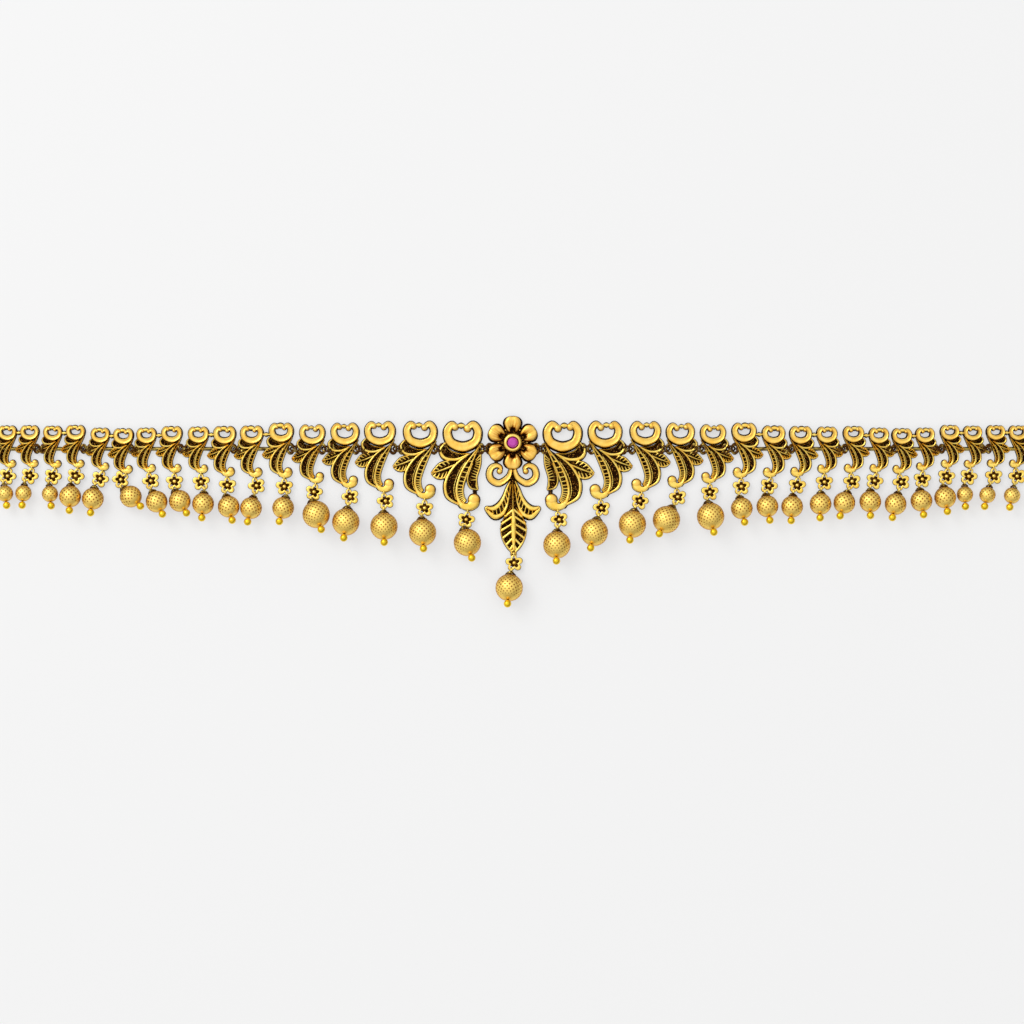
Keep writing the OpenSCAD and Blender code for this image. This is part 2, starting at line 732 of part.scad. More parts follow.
// Plain chain from the last plate, with a small upright ring at both ends
module chain(side) {
    color(DARK_GOLD) {
        for (x = [JUMP_X, FAR_JUMP_X])
            translate([side * x, -join_drop, JUMP_Z]) rotate([90, 0, 0]) ring(JUMP_RING_R, JUMP_RING_WIRE);
        for (i = [0:chain_count - 1])
            translate([side * (CHAIN_X + i * CHAIN_PITCH), -join_drop, CHAIN_Z])
                rotate([i % 2 == 0 ? chain_tilt : -chain_tilt, 0, 0])
                    ring(chain_r, chain_wire);
    }
}

// Puts an end piece's near wire inside the far jump ring and tips its far end down to the surface
// The piece is drawn flat, with its near wire at the origin and its far wire this reach along +X
module tipped_end(side, wire, reach) {
    hold = JUMP_RING_R - JUMP_RING_WIRE / 2 - wire / 2 - slack;
    near_z = JUMP_Z - hold * sin(END_HOLD_ANGLE);
    translate([side * (FAR_JUMP_X + hold * cos(END_HOLD_ANGLE)), -join_drop, near_z])
        mirror([side < 0 ? 1 : 0, 0, 0])
            rotate([0, asin((near_z - wire / 2) / reach), 0])
                children();
}

module hook() {
    bend_x = 2 * hook_eye_r + hook_shank;
    color(DARK_GOLD)
        tipped_end(LEFT, hook_wire, bend_x + hook_bend_r) {
            translate([hook_eye_r, 0, 0]) ring(hook_eye_r, hook_wire);
            translate([2 * hook_eye_r, 0, 0])
                rotate([0, 90, 0]) cylinder(d = hook_wire, h = hook_shank, $fn = 24);
            translate([bend_x, -hook_bend_r, 0])
                rotate([0, 0, -90])
                    rotate_extrude(angle = 180, $fn = 48)
                        translate([hook_bend_r, 0]) circle(d = hook_wire, $fn = 24);
            translate([bend_x - hook_tip, -2 * hook_bend_r, 0]) {
                rotate([0, 90, 0]) cylinder(d = hook_wire, h = hook_tip, $fn = 24);
                sphere(d = hook_wire, $fn = 24);
            }
        }
}

module end_ring() {
    color(DARK_GOLD)
        tipped_end(RIGHT, end_ring_wire, 2 * end_ring_r)
            translate([end_ring_r, 0, 0]) ring(end_ring_r, end_ring_wire);
}

centre_plaque();
centre_stone();
bead(drop_feet(LEFT)[0]);  // centre_bead
for (s = [0, 1]) {
    for (i = [1:LINKS]) {
        plate(SIDES[s], i, i);
        bead(side_drop(SIDES[s], i));
    }
    for (i = [1:PAIRS]) {
        first = LINKS + 2 * i - 1;
        plate(SIDES[s], first, first + 1);
        union() {
            bead(side_drop(SIDES[s], first));
            bead(side_drop(SIDES[s], first + 1));
        }
    }
    drop_pins(SIDES[s]);
    drop_flowers(SIDES[s]);
    drop_rings(SIDES[s]);
    plate_rings(SIDES[s]);
    chain(SIDES[s]);
}
hook();
end_ring();
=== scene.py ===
"""Waist belt of antique gold plates with flower and bead drops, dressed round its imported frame."""
import json
import math

import bpy
from bpy.props import FloatProperty, FloatVectorProperty, IntProperty, PointerProperty
from mathutils import Matrix, Vector

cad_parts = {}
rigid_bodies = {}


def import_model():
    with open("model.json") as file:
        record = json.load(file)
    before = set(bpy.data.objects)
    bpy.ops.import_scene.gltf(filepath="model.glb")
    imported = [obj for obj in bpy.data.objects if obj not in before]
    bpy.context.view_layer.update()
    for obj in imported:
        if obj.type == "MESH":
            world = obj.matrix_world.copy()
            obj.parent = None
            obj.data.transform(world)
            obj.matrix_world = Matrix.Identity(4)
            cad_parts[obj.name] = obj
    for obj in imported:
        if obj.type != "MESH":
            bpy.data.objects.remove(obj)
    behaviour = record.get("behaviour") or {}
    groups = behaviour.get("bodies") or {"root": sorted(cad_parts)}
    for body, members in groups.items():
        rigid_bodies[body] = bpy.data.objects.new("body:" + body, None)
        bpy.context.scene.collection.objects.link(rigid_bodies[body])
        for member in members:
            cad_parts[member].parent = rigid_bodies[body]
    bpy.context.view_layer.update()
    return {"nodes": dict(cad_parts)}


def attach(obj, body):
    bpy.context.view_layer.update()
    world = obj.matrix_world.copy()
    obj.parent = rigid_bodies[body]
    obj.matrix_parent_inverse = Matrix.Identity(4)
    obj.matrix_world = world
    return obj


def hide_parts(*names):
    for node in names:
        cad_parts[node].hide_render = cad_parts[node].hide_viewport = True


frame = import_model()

bl_info = {
    "name": "Waist belt",
    "version": (1, 0, 0),
    "blender": (4, 5, 0),
    "location": "3D View > Sidebar > Belt",
    "description": "Models a cast waist belt with flower and bead drops",
    "category": "Object",
}

MM = 0.001

LEFT = -1
RIGHT = 1
SIDE_NAMES = {LEFT: "left", RIGHT: "right"}

# One row per heart motif, outward from the plaque, in millimetres:
# distance from the stone, width of the heart, height of its top above the stone
MOTIFS = (
    (18.2, 14.0, 8.1), (33.6, 12.2, 8.1), (48.3, 11.1, 8.0), (61.0, 10.2, 7.4), (72.9, 9.2, 6.8),
    (84.2, 8.5, 7.2), (94.9, 8.0, 6.2), (104.8, 7.8, 6.0), (114.3, 7.2, 5.8), (124.0, 7.2, 6.0),
    (133.2, 6.9, 5.4), (141.6, 7.0, 5.2), (150.0, 6.6, 5.4), (159.0, 6.6, 6.4), (167.3, 6.5, 6.1),
    (175.7, 6.5, 6.3), (183.8, 6.5, 6.2),
)
LINKS = 5
PAIRS = 6

# One row per drop: lean of the flower, petal that carries the pin, lean of the pin
# Leans are degrees from straight down toward +X; a petal of -1 is the lower left one
CENTRE_DROP = (4, -1, -6)
LEFT_DROPS = (
    (-14, -1, 16), (0, -1, 4), (16, -1, 2), (16, -1, -6), (-14, -1, 20),
    (2, 1, -14), (20, -1, -12), (2, -1, 16), (2, 1, -3), (2, -1, 31),
    (20, -1, 27), (-58, 1, 47), (-24, -1, -6), (-22, -1, 0), (-20, -1, 8),
    (-22, -1, -4), (-20, -1, 10),
)
RIGHT_DROPS = (
    (16, -1, -2), (8, -1, -14), (-16, -1, -10), (10, -1, -28), (0, -1, 10),
    (2, -1, 10), (-18, -1, 8), (-8, -1, -6), (0, -1, -4), (10, -1, -20),
    (-18, -1, -2), (18, -1, -16), (-4, -1, 6), (-10, -1, 6), (-16, -1, 0),
    (4, -1, -16), (14, -1, -14),
)
LARGE_DROPS = 5
MEDIUM_DROPS = 14

# Heights above the surface, in millimetres
BACK_TOP = 1.4
RIM_TOP = 2.2
HEART_TOP = 2.8
EYE_Z = 1.7

# Cross sections of bands and recesses: shares of the width across, and of the height up
ROUND_BAND = (
    (0.72, 0.0), (0.72, 0.34), (0.50, 0.50), (0.42, 0.78), (0.25, 0.95), (0.0, 1.0),
    (-0.25, 0.95), (-0.42, 0.78), (-0.50, 0.50), (-0.72, 0.34), (-0.72, 0.0),
)
FLAT_BAND = (
    (0.57, 0.0), (0.57, 0.38), (0.445, 0.54), (0.41, 0.84), (0.35, 0.96), (0.27, 1.0), (0.13, 0.955),
    (0.0, 0.945), (-0.13, 0.955), (-0.27, 1.0), (-0.35, 0.96), (-0.41, 0.84), (-0.445, 0.54),
    (-0.57, 0.38), (-0.57, 0.0),
)
HOLLOW = (
    (0.50, 0.0), (0.50, 1.0), (0.32, 0.80), (0.12, 0.68), (-0.12, 0.68), (-0.32, 0.80),
    (-0.50, 1.0), (-0.50, 0.0),
)
PETAL_DOME = (
    (0.53, 0.0), (0.53, 0.40), (0.455, 0.52), (0.42, 0.82), (0.35, 0.95), (0.24, 1.0), (0.10, 0.955),
    (0.0, 0.93), (-0.10, 0.955), (-0.24, 1.0), (-0.35, 0.95), (-0.42, 0.82), (-0.455, 0.52),
    (-0.53, 0.40), (-0.53, 0.0),
)
CURL_BAND = (
    (0.55, 0.0), (0.55, 0.40), (0.50, 0.54), (0.46, 0.82), (0.36, 0.95), (0.18, 1.0), (-0.18, 1.0),
    (-0.36, 0.95), (-0.46, 0.82), (-0.50, 0.54), (-0.55, 0.40), (-0.55, 0.0),
)
# Profile of a round end: shares of its radius and of its height
ROUND_TOP = ((1.0, 0.0), (1.0, 0.40), (0.94, 0.54), (0.87, 0.80), (0.70, 0.92), (0.38, 0.985), (0.1, 1.0))
BEAD_BAND = ((0.5, 0.0), (0.5, 0.8), (0.25, 1.0), (-0.25, 1.0), (-0.5, 0.8), (-0.5, 0.0))
# A band's round end: how far past its last place, as shares of its width, and what is left of its
# width and height there
ROUND_END = ((0.22, 0.86, 0.97), (0.40, 0.52, 0.86))

# The heart motif, as shares of the heart's width, with +X toward the plaque
# A band's rows hold x, y and its width there
HEART = (
    (-0.17, -0.20, 0.13), (-0.28, -0.11, 0.19), (-0.40, -0.30, 0.225), (-0.305, -0.575, 0.25),
    (0.01, -0.69, 0.275), (0.315, -0.565, 0.25), (0.40, -0.30, 0.225), (0.275, -0.11, 0.20),
    (0.11, -0.21, 0.14),
)
HEART_CURLS = ((-0.20, -0.17, 0.105), (0.125, -0.21, 0.11))
HEART_TIE = ((-0.13, -0.14, 0.06), (-0.04, -0.135, 0.12), (0.05, -0.14, 0.06))
PAIR_TIE = ((-0.17, -0.12, 0.14), (-0.04, -0.11, 0.19), (0.09, -0.12, 0.14))
CRESCENT_RIM = (
    (-0.45, -0.58, 0.05), (-0.575, -0.76, 0.085), (-0.465, -0.97, 0.11), (-0.16, -1.01, 0.10),
    (0.16, -0.88, 0.06),
)
CRESCENT_TOP = (
    (-0.44, -0.58, 0.03), (-0.43, -0.65, 0.035), (-0.31, -0.79, 0.035), (-0.08, -0.865, 0.035),
    (0.14, -0.86, 0.03),
)
LEAF_UPPER = (
    (-0.22, -1.03, 0.045), (-0.42, -1.06, 0.05), (-0.60, -1.13, 0.055), (-0.73, -1.27, 0.055),
    (-0.82, -1.37, 0.03),
)
LEAF_VEIN = (
    (-0.18, -1.14, 0.055), (-0.32, -1.20, 0.065), (-0.46, -1.26, 0.065), (-0.63, -1.32, 0.055),
    (-0.80, -1.38, 0.045),
)
LEAF_LOWER = (
    (-0.26, -1.28, 0.045), (-0.38, -1.42, 0.05), (-0.52, -1.50, 0.06), (-0.68, -1.48, 0.065),
    (-0.81, -1.39, 0.03),
)
LOBE = (
    (0.17, -0.87, 0.05), (-0.20, -1.17, 0.08), (-0.435, -1.58, 0.095), (-0.40, -1.97, 0.095),
    (-0.10, -2.18, 0.06),
)
STEM_OUTER = (
    (0.40, -0.72, 0.05), (0.02, -1.24, 0.075), (-0.145, -1.70, 0.085), (-0.13, -2.01, 0.105),
    (-0.01, -2.20, 0.155), (0.15, -2.245, 0.22), (0.275, -2.165, 0.28), (0.30, -2.08, 0.29),
)
STEM_INNER = (
    (0.46, -0.62, 0.045), (0.17, -1.26, 0.055), (0.01, -1.72, 0.055), (0.02, -1.96, 0.05),
    (0.085, -2.08, 0.04),
)
STEM_BALL = (0.295, -2.06, 0.17)
# Share of the way from the stem to the lobe where the line of fine beads runs
BEAD_LINE = 0.24
BEAD_LINE_ROWS = 29
BEAD_LINE_FROM = 0.7
BEAD_LINE_STEP = 0.1
BEAD_LINE_WIDTHS = (0.014, 0.034)
# Places along the curves, in spans: where the rungs start, the stretch they fill, and the leaf's teeth
RUNG_FROM = 0.45
RUNG_SPAN = 3.45
LEAF_TEETH = 5
LEAF_TOOTH_STEP = 0.6
# Widths of small bars from end to end, as shares of a heart's width, and of the plaque's ribs in millimetres
LEAF_TOOTH_WIDTHS = (0.035, 0.075, 0.05)
RUNG_WIDTHS = (0.06, 0.045, 0.06)
SPUR_TOOTH_WIDTHS = (0.055, 0.03)
PLAQUE_RIB_WIDTHS = (1.15, 1.15, 1.3)
# The first link's inner leaf
SPUR_OUTER = ((0.26, -1.12, 0.04), (0.13, -1.50, 0.05), (0.20, -1.74, 0.05), (0.40, -1.80, 0.04))
SPUR_INNER = ((0.47, -0.66, 0.035), (0.46, -1.12, 0.05), (0.36, -1.50, 0.05), (0.39, -1.78, 0.04))
SPUR_TEETH = 14
SPUR_TOOTH_FROM = 0.55
SPUR_TOOTH_STEP = 0.175
SPUR_NECK = ((0.31, -1.78, 0.08), (0.33, -2.02, 0.08))
FOOT = (0.13, -2.36)

# The plaque below its flower, left half, in millimetres from the stone
# Rows of a petal, which points along +X: x, y, width and height
PETAL = (
    (2.4, 0, 2.1, 1.2), (3.5, 0, 3.3, 1.6), (4.3, 0, 4.5, 2.3), (5.4, 0, 5.9, 2.6), (6.5, 0, 6.7, 2.7),
    (7.5, 0, 6.8, 2.75), (8.4, 0, 6.1, 2.7), (9.1, 0, 4.9, 2.6), (9.55, 0, 3.3, 2.3), (9.78, 0, 1.5, 1.5),
)
# How far out each deepening of a petal's groove ends, and how deep each one is
GROOVE_ENDS = (4.4, 5.0, 5.7, 6.4, 7.2)
GROOVE_STEP = 0.2
# Points of a petal that sink: how far from its axis, and above which height
GROOVE_HALF = 0.6
GROOVE_FLOOR = 0.5
SCROLL = (
    (-0.7, -9.8, 1.6), (-1.7, -12.6, 2.2), (-4.9, -14.7, 2.6), (-7.7, -13.5, 2.6), (-8.5, -11.3, 2.5),
    (-7.7, -9.1, 2.3), (-5.9, -8.3, 2.0), (-4.5, -9.0, 1.7), (-4.5, -10.3, 1.5),
)
SCROLL_BALL = (-4.75, -10.4, 1.15)
SCROLL_NECK = ((-6.0, -5.8, 1.0), (-6.0, -8.0, 1.0))
HORN_UPPER = (
    (-0.9, -14.0, 0.6), (-2.1, -16.6, 1.0), (-3.15, -19.7, 1.3), (-4.85, -22.5, 1.7),
    (-6.95, -24.0, 1.9), (-9.3, -23.7, 1.1),
)
HORN_LOWER = (
    (-0.6, -15.0, 0.4), (-1.3, -19.4, 0.6), (-2.15, -23.0, 1.1), (-3.85, -25.9, 1.8),
    (-6.6, -26.85, 2.0), (-9.2, -24.7, 1.3),
)
HORN_TIP = ((-9.2, -23.3, 0.7), (-9.75, -23.8, 0.9), (-9.4, -24.7, 1.0))
HORN_BARS = 9
HORN_BAR_FROM = 0.5
HORN_BAR_STEP = 0.52
# Width of a bar at its ends and in its middle, as shares of its length
HORN_BAR_ENDS = 0.26
HORN_BAR_MIDDLE = 0.15
PLAQUE_STEM = ((0.0, -8.6, 2.6), (0.0, -13.0, 1.7), (0.0, -17.0, 2.0), (0.0, -23.0, 3.6), (0.1, -27.0, 5.0))
# Left edge of the long leaf, from the leaf's own axis
PLAQUE_LEAF_EDGE = (
    (-0.9, -23.6, 0.3), (-2.55, -26.0, 0.35), (-4.2, -29.1, 0.4), (-4.6, -32.0, 0.45), (-3.8, -35.2, 0.65),
    (-2.15, -37.9, 0.9), (-0.75, -39.6, 0.8), (-0.9, -40.9, 0.5),
)
PLAQUE_MIDRIB = (
    (0.1, -23.6, 0.6), (0.2, -26.2, 1.6), (0.3, -30.0, 2.3), (0.3, -34.0, 2.1), (0.4, -39.2, 1.0),
)
# The thin low line that leads from the scrolls down to it
PLAQUE_LINE = ((0.0, -14.4, 0.35), (0.05, -19.0, 0.45), (0.1, -23.8, 0.5))
PLAQUE_LEAF_X = 0.3
PLAQUE_RIBS = 6
PLAQUE_RIB_FROM = 0.35
PLAQUE_RIB_STEP = 0.85
# How much further along the leaf a rib ends than it starts, in spans of its edge
PLAQUE_RIB_SLOPE = 0.95
PLAQUE_FOOT = (0.4, -40.6)
# Veins of the petals: how the noise is stretched round and along them, their tint, and where they fade
VEIN_STRETCH = (14, 120, 1)
VEIN_TINT = (0.62, 0.34, 0.14)
VEIN_FADE = (5.5, 9.3)
# Turned collar and the stone in it: radius, height and turn of each ring of points
COLLAR = (
    (3.3, 0.5), (3.3, 3.0), (3.27, 3.55), (3.15, 3.9), (2.9, 4.12), (2.55, 4.2), (2.3, 4.14),
    (2.15, 3.95), (2.05, 3.6), (2.05, 3.1),
)
PLAQUE_BED = ((5.4, 0.1), (5.4, 1.25), (5.2, 1.4))
# Dark floor of the collar, seen as a thin ring round the stone
COLLAR_FLOOR = ((2.1, 3.0), (2.1, 3.25))
STONE = ((1.3, 3.27), (1.9, 3.6), (1.9, 3.85), (1.56, 4.35, 11.25), (1.08, 4.68, 11.25))
# Small balls between the petals: how many, how far out, their radius and top
PETAL_BALLS = 6
PETAL_BALL = (5.25, 0.34, 2.05)

# Rings of the joins between plates
JOIN_DROP = 2.2
BIG_RING = 1.6
SMALL_RING = 1.2
JUMP_RING = 2.1
# Eyes of the plates: radius at a big and at a small join, wire, and how much taller than wide
EYE_R = (1.15, 0.9)
EYE_WIRE = 0.9
EYE_STRETCH = 1.4
# Where the last eye lies, as a share of the chain's jump ring
LAST_EYE_SHARE = 0.92
# Bar behind an eye: where it starts, where it ends at a big and at a small join, and its width at both
EYE_BAR_FROM = 0.9
EYE_BAR_TO = (1.6, 1.9)
EYE_BAR_WIDE = 1.1
EYE_BAR_THIN = 0.9
FOOT_EYE = 0.73
FOOT_WIRE = 0.5
BIG_JOINS = 5
PLATE_OUTER = 0.6
PLATE_INNER = 0.5
# Bars of a pair, as shares of a heart's width: below its top, and from the middle of each motif
UPPER_BAR_DROP = 0.4
BAR_END = 0.42
LOWER_BAR_END = 0.15
# Their widths in millimetres; the upper one swells into a knot
UPPER_BAR_WIDTHS = (0.9, 0.8, 1.25, 0.8, 0.9)
LOWER_BAR_WIDTH = 1.0
PETAL_REACH = 9.8
PLAQUE_EDGE = 0.9

# Drops: the ring that carries a flower, the flower, and the pin's loop
DROP_RING = 0.95
FLOWER_EYE = 2.15
FLOWER_HEART = 1.6
FLOWER_HOLE = 0.46
PIN_HOLE = 0.5
PETAL_AT = 2.0
SMALL_PETAL = 1.25
EYE_PETAL = 1.1
# Star hollow in the flower: its distance from the middle between two petals, and how far its arms
# reach past that
STAR = (1.1, 0.82)
# Rings of the flower's body: share of the way from its edge to the star, and height above the middle plane
FLOWER_RINGS = (
    (0.0, -0.35), (0.0, -0.05), (0.1, 0.12), (0.17, 0.36), (0.42, 0.46), (0.8, 0.44), (0.94, 0.36),
    (1.0, 0.18), (1.08, 0.1),
)
# Balls in the flower's hollow: radius, and height of the widest place above the middle plane
FLOWER_BALL = (0.82, -0.1)
FLOWER_BUMP = (0.24, 0.02)
# Angles up a ball's side at which its rings of points lie
BALL_STEPS = (0, 30, 55, 76)
PIN_LOOP = 1.0
# Leans of the two turns of a pin's loop, in degrees round the pin
LOOP_LEANS = (82, 98)
PIN_WIRE = 0.5
PIN_BALL = 1.4
PIN_SLACK = 0.15
NECK_SHARE = 0.275
NECK_FROM = 2.0
BEAD_BORE = 0.4
# Rows without pits at each end of a bead, and a pit's rim and slope as shares of the spacing
PIT_FREE_ROWS = 1.8
PIT_RIM = 0.27
PIT_SLOPE = 0.06
# Painted shade on a bead's gold at shares of its height: it darkens toward the sides
SIDE_SHADE_TONES = ((0.5, (0.40, 0.24, 0.11)), (0.62, (0.80, 0.62, 0.42)), (0.76, (1, 1, 1)))
# Wire wound below a loop: radius of its first turn as a share of the bead's, how much smaller each
# next one is, its thickness, and the tilt of every turn but the first
WRAP_SHARE = 0.36
WRAP_STEP = 0.5
WRAP_WIRE = 0.56
WRAP_TILT = 6
# How far above the bead the first turn lies, and how much further each next one, in wires
WRAP_FIRST = 0.6
WRAP_NEXT = 0.8

# Worn golds, whose brown flanks are partly painted shade: their colour, the heights where they turn dark and
# bright, and how rough they are
WORN_AND_SHADED_GOLDS = {
    "heart_gold": ("face_gold", 1.5, 2.45, 0.34),
    "rim_gold": ("rim_gold", 1.1, 1.85, 0.36),
    "petal_gold": ("face_gold", 1.5, 2.45, 0.36),
    "flower_gold": ("rim_gold", 1.68, 2.0, 0.34),
}
# Fine grain of the metals: how deep it is in metres, then its scale and strength on each
GRAIN_REACH = 0.0001
GOLD_GRAIN = (2600, 0.25)
BEAD_GRAIN = (1800, 0.3)
WIRE_GRAIN = (1500, 0.3)
# Scales of the clouds of tone, of the stipple in the recesses and of the gold spots on wire, partly worn
# places and partly painted glints
GOLD_CLOUD = 420
CLOUD_SCALE = 500
STONE_CLOUD = 700
STIPPLE_SCALE = 1900
WIRE_SPOTS = 900
# How far the clouds shift the height where gold turns dark, as a share of the whole turn
GOLD_WEAR = 0.22

# The photograph's frame: its width and middle in millimetres, the height it is measured at, and the lens
VIEW_WIDTH = 372.3
VIEW_MIDDLE = (-0.25, -25.2)
VIEW_LEVEL = 2
CAMERA_LENS = 120
CAMERA_SENSOR = 36
# Side of the floor in metres, its colour and its glow
FLOOR_SIZE = 14
FLOOR_GREY = (0.33, 0.33, 0.33, 1)
FLOOR_GLOW = 0.55
# Key lamp: its place and side in metres, and its power in watts
KEY_AT = (-0.7, 0.6, 1.0)
KEY_SIZE = 0.6
KEY_ENERGY = 5
# Even light: how far toward its brightest side it starts and ends to grow, and its strength at both
DOME_FROM = (-0.1, 0.9)
DOME_TO = (0.22, 1.12)
# Direction of the brightest part of the even light
BRIGHT_SIDE = (-0.28, 0.28, 0.92)


class BeltFinish(bpy.types.PropertyGroup):
    """Colours of the metal, the patina and the stone."""

    face_gold: FloatVectorProperty(
        name="Face gold", description="Colour of the broad polished faces", subtype="COLOR",
        size=3, min=0, max=1, default=(0.96, 0.65, 0.155))
    rim_gold: FloatVectorProperty(
        name="Rim gold", description="Colour of the thin bright rims", subtype="COLOR",
        size=3, min=0, max=1, default=(0.98, 0.73, 0.17))
    # Partly oxide and partly painted shade: the brown on the flanks of the bands and domes
    edge_brown: FloatVectorProperty(
        name="Edge brown", description="Colour where a face turns down into a recess", subtype="COLOR",
        size=3, min=0, max=1, default=(0.30, 0.11, 0.01))
    patina: FloatVectorProperty(
        name="Patina", description="Colour of the dark recesses", subtype="COLOR",
        size=3, min=0, max=1, default=(0.020, 0.007, 0.002))
    bead_gold: FloatVectorProperty(
        name="Bead gold", description="Colour of the round beads", subtype="COLOR",
        size=3, min=0, max=1, default=(1.0, 0.71, 0.175))
    pit_brown: FloatVectorProperty(
        name="Pit brown", description="Colour of the small pits in the beads", subtype="COLOR",
        size=3, min=0, max=1, default=(0.50, 0.23, 0.045))
    ball_gold: FloatVectorProperty(
        name="Ball gold", description="Colour of the polished ball under each bead", subtype="COLOR",
        size=3, min=0, max=1, default=(0.95, 0.62, 0.03))
    wire_brown: FloatVectorProperty(
        name="Wire brown", description="Colour of the darkened rings and chain", subtype="COLOR",
        size=3, min=0, max=1, default=(0.075, 0.028, 0.006))
    stone_pink: FloatVectorProperty(
        name="Stone pink", description="Colour of the centre stone", subtype="COLOR",
        size=3, min=0, max=1, default=(0.46, 0.02, 0.34))


class BeltRelief(bpy.types.PropertyGroup):
    """Relief of the cast plates."""

    rungs: IntProperty(
        name="Rungs", description="Number of rungs across the stem of a link", default=15, min=6, max=24)
    pair_rungs: IntProperty(
        name="Pair rungs", description="Number of rungs across the stem of a pair's motif",
        default=11, min=6, max=18)
    pair_bold: FloatProperty(
        name="Pair boldness",
        description="How much wider the bands of a pair are, for its size, than a link's",
        default=1.18, min=1.0, max=1.4)
    heart_top: FloatProperty(
        name="Heart height", description="Height of the hearts above the surface, in millimetres",
        default=HEART_TOP, min=2.4, max=3.4)


class BeltBeads(bpy.types.PropertyGroup):
    """Round beads and their pits."""

    large: FloatProperty(
        name="Large bead", description="Radius of the beads on the links, in millimetres",
        default=5.0, min=4.5, max=5.5)
    medium: FloatProperty(
        name="Medium bead", description="Radius of the beads on most pairs, in millimetres",
        default=4.0, min=3.6, max=4.4)
    small: FloatProperty(
        name="Small bead", description="Radius of the beads at both ends, in millimetres",
        default=3.0, min=2.7, max=3.3)
    pit_pitch: FloatProperty(
        name="Pit spacing", description="Distance between the pits of a bead, in millimetres",
        default=1.2, min=0.8, max=2.0)
    pit_depth: FloatProperty(
        name="Pit depth", description="Depth of a bead's pits, in millimetres",
        default=0.16, min=0.05, max=0.3)


def curve_point(rows, u):
    """Point of a smooth curve through the rows, at a place counted in spans."""
    i = min(int(u), len(rows) - 2)
    t = u - i
    a, b, c, d = (Vector(rows[max(0, min(k, len(rows) - 1))]) for k in range(i - 1, i + 3))
    square = (2 * a - 5 * b + 4 * c - d) * t ** 2
    cube = (3 * b - a - 3 * c + d) * t ** 3
    return 0.5 * (2 * b + (c - a) * t + square + cube)


def along(rows, steps, height=None):
    """Stations of a band: place, heading, width and height, which may be a row's fourth number."""
    count = (len(rows) - 1) * steps
    points = [curve_point(rows, k / steps) for k in range(count + 1)]
    stations = []
    for k, point in enumerate(points):
        ahead = points[min(k + 1, count)] - points[max(k - 1, 0)]
        high = point.w if height is None else height
        stations.append((point.x, point.y, math.atan2(ahead.y, ahead.x), point.z, high))
    return stations


def nearest(rows, point):
    """Place on a curve that lies nearest to a point."""
    places = [curve_point(rows, k / 20) for k in range(20 * (len(rows) - 1) + 1)]
    return min(places, key=lambda at: (at.xy - point.xy).length)


def between(left_rows, right_rows, first, last, count, height):
    """Stations of a strip that fills the space between two curves."""
    stations = []
    for k in range(count + 1):
        u = first + (last - first) * k / count
        a = curve_point(left_rows, u)
        b = curve_point(right_rows, u)
        middle = (a + b) / 2
        gap = a - b
        heading = math.atan2(gap.y, gap.x) - math.pi / 2
        stations.append((middle.x, middle.y, heading, gap.xy.length, height))
    return stations


def round_ends(stations, start=True, end=True):
    """The same stations with round ends past the first and the last one."""
    def cap(station, way):
        x, y, heading, width, height = station
        return [
            (x + way * math.cos(heading) * width * reach, y + way * math.sin(heading) * width * reach,
             heading, width * wide, height * high)
            for reach, wide, high in ROUND_END
        ]
    before = cap(stations[0], -1)[::-1] if start else []
    after = cap(stations[-1], 1) if end else []
    return before + stations + after


def edit_all():
    """Enters edit mode with everything selected."""
    bpy.ops.object.mode_set(mode="EDIT")
    bpy.ops.mesh.select_all(action="SELECT")


def leave_edit(outward=False):
    """Leaves edit mode, after turning all faces outward where asked."""
    if outward:
        bpy.ops.mesh.select_all(action="SELECT")
        bpy.ops.mesh.normals_make_consistent(inside=False)
    bpy.ops.object.mode_set(mode="OBJECT")


def sweep(section, stations, finish):
    """Extrudes a cross section from station to station as one closed solid."""
    x, y, heading, width, height = stations[0]
    bpy.ops.mesh.primitive_circle_add(vertices=len(section), radius=1, fill_type="NGON")
    shape = bpy.context.object
    across = Vector((-math.sin(heading), math.cos(heading), 0))
    for vertex, (side, up) in zip(shape.data.vertices, section):
        vertex.co = Vector((x, y, up * height)) + across * side * width
    edit_all()
    for here, there in zip(stations, stations[1:]):
        step = (there[0] - here[0], there[1] - here[1], 0)
        at = (there[0], there[1], 0)
        turn = math.remainder(there[2] - here[2], math.tau)
        bpy.ops.mesh.extrude_region_move(TRANSFORM_OT_translate={"value": step})
        bpy.ops.transform.rotate(value=-turn, orient_axis="Z", center_override=at)
        bpy.ops.transform.resize(
            value=(1, there[3] / here[3], there[4] / here[4]), orient_type="GLOBAL",
            orient_matrix=Matrix.Rotation(there[2], 3, "Z"), orient_matrix_type="GLOBAL",
            center_override=at)
    leave_edit(outward=True)
    shape.data.materials.append(bpy.data.materials[finish])
    return shape


def dome(x, y, radius, top, finish, segments=16):
    """A round end that stands up to a height, with an edge like that of a band."""
    profile = [(share * radius, up * top) for share, up in ROUND_TOP]
    return place(turned(profile, segments, finish), Matrix.Translation((x, y, 0)))


def eyelet(x, y, radius, wire, finish, stretch=1.0):
    """A loop of round wire that lies flat at the height of the rings."""
    bpy.ops.mesh.primitive_torus_add(
        major_radius=radius, minor_radius=wire / 2, major_segments=20, minor_segments=8)
    shape = bpy.context.object
    place(shape, Matrix.Translation((x, y, EYE_Z)) @ Matrix.Diagonal((1, stretch, 1, 1)))
    shape.data.materials.append(bpy.data.materials[finish])
    return shape


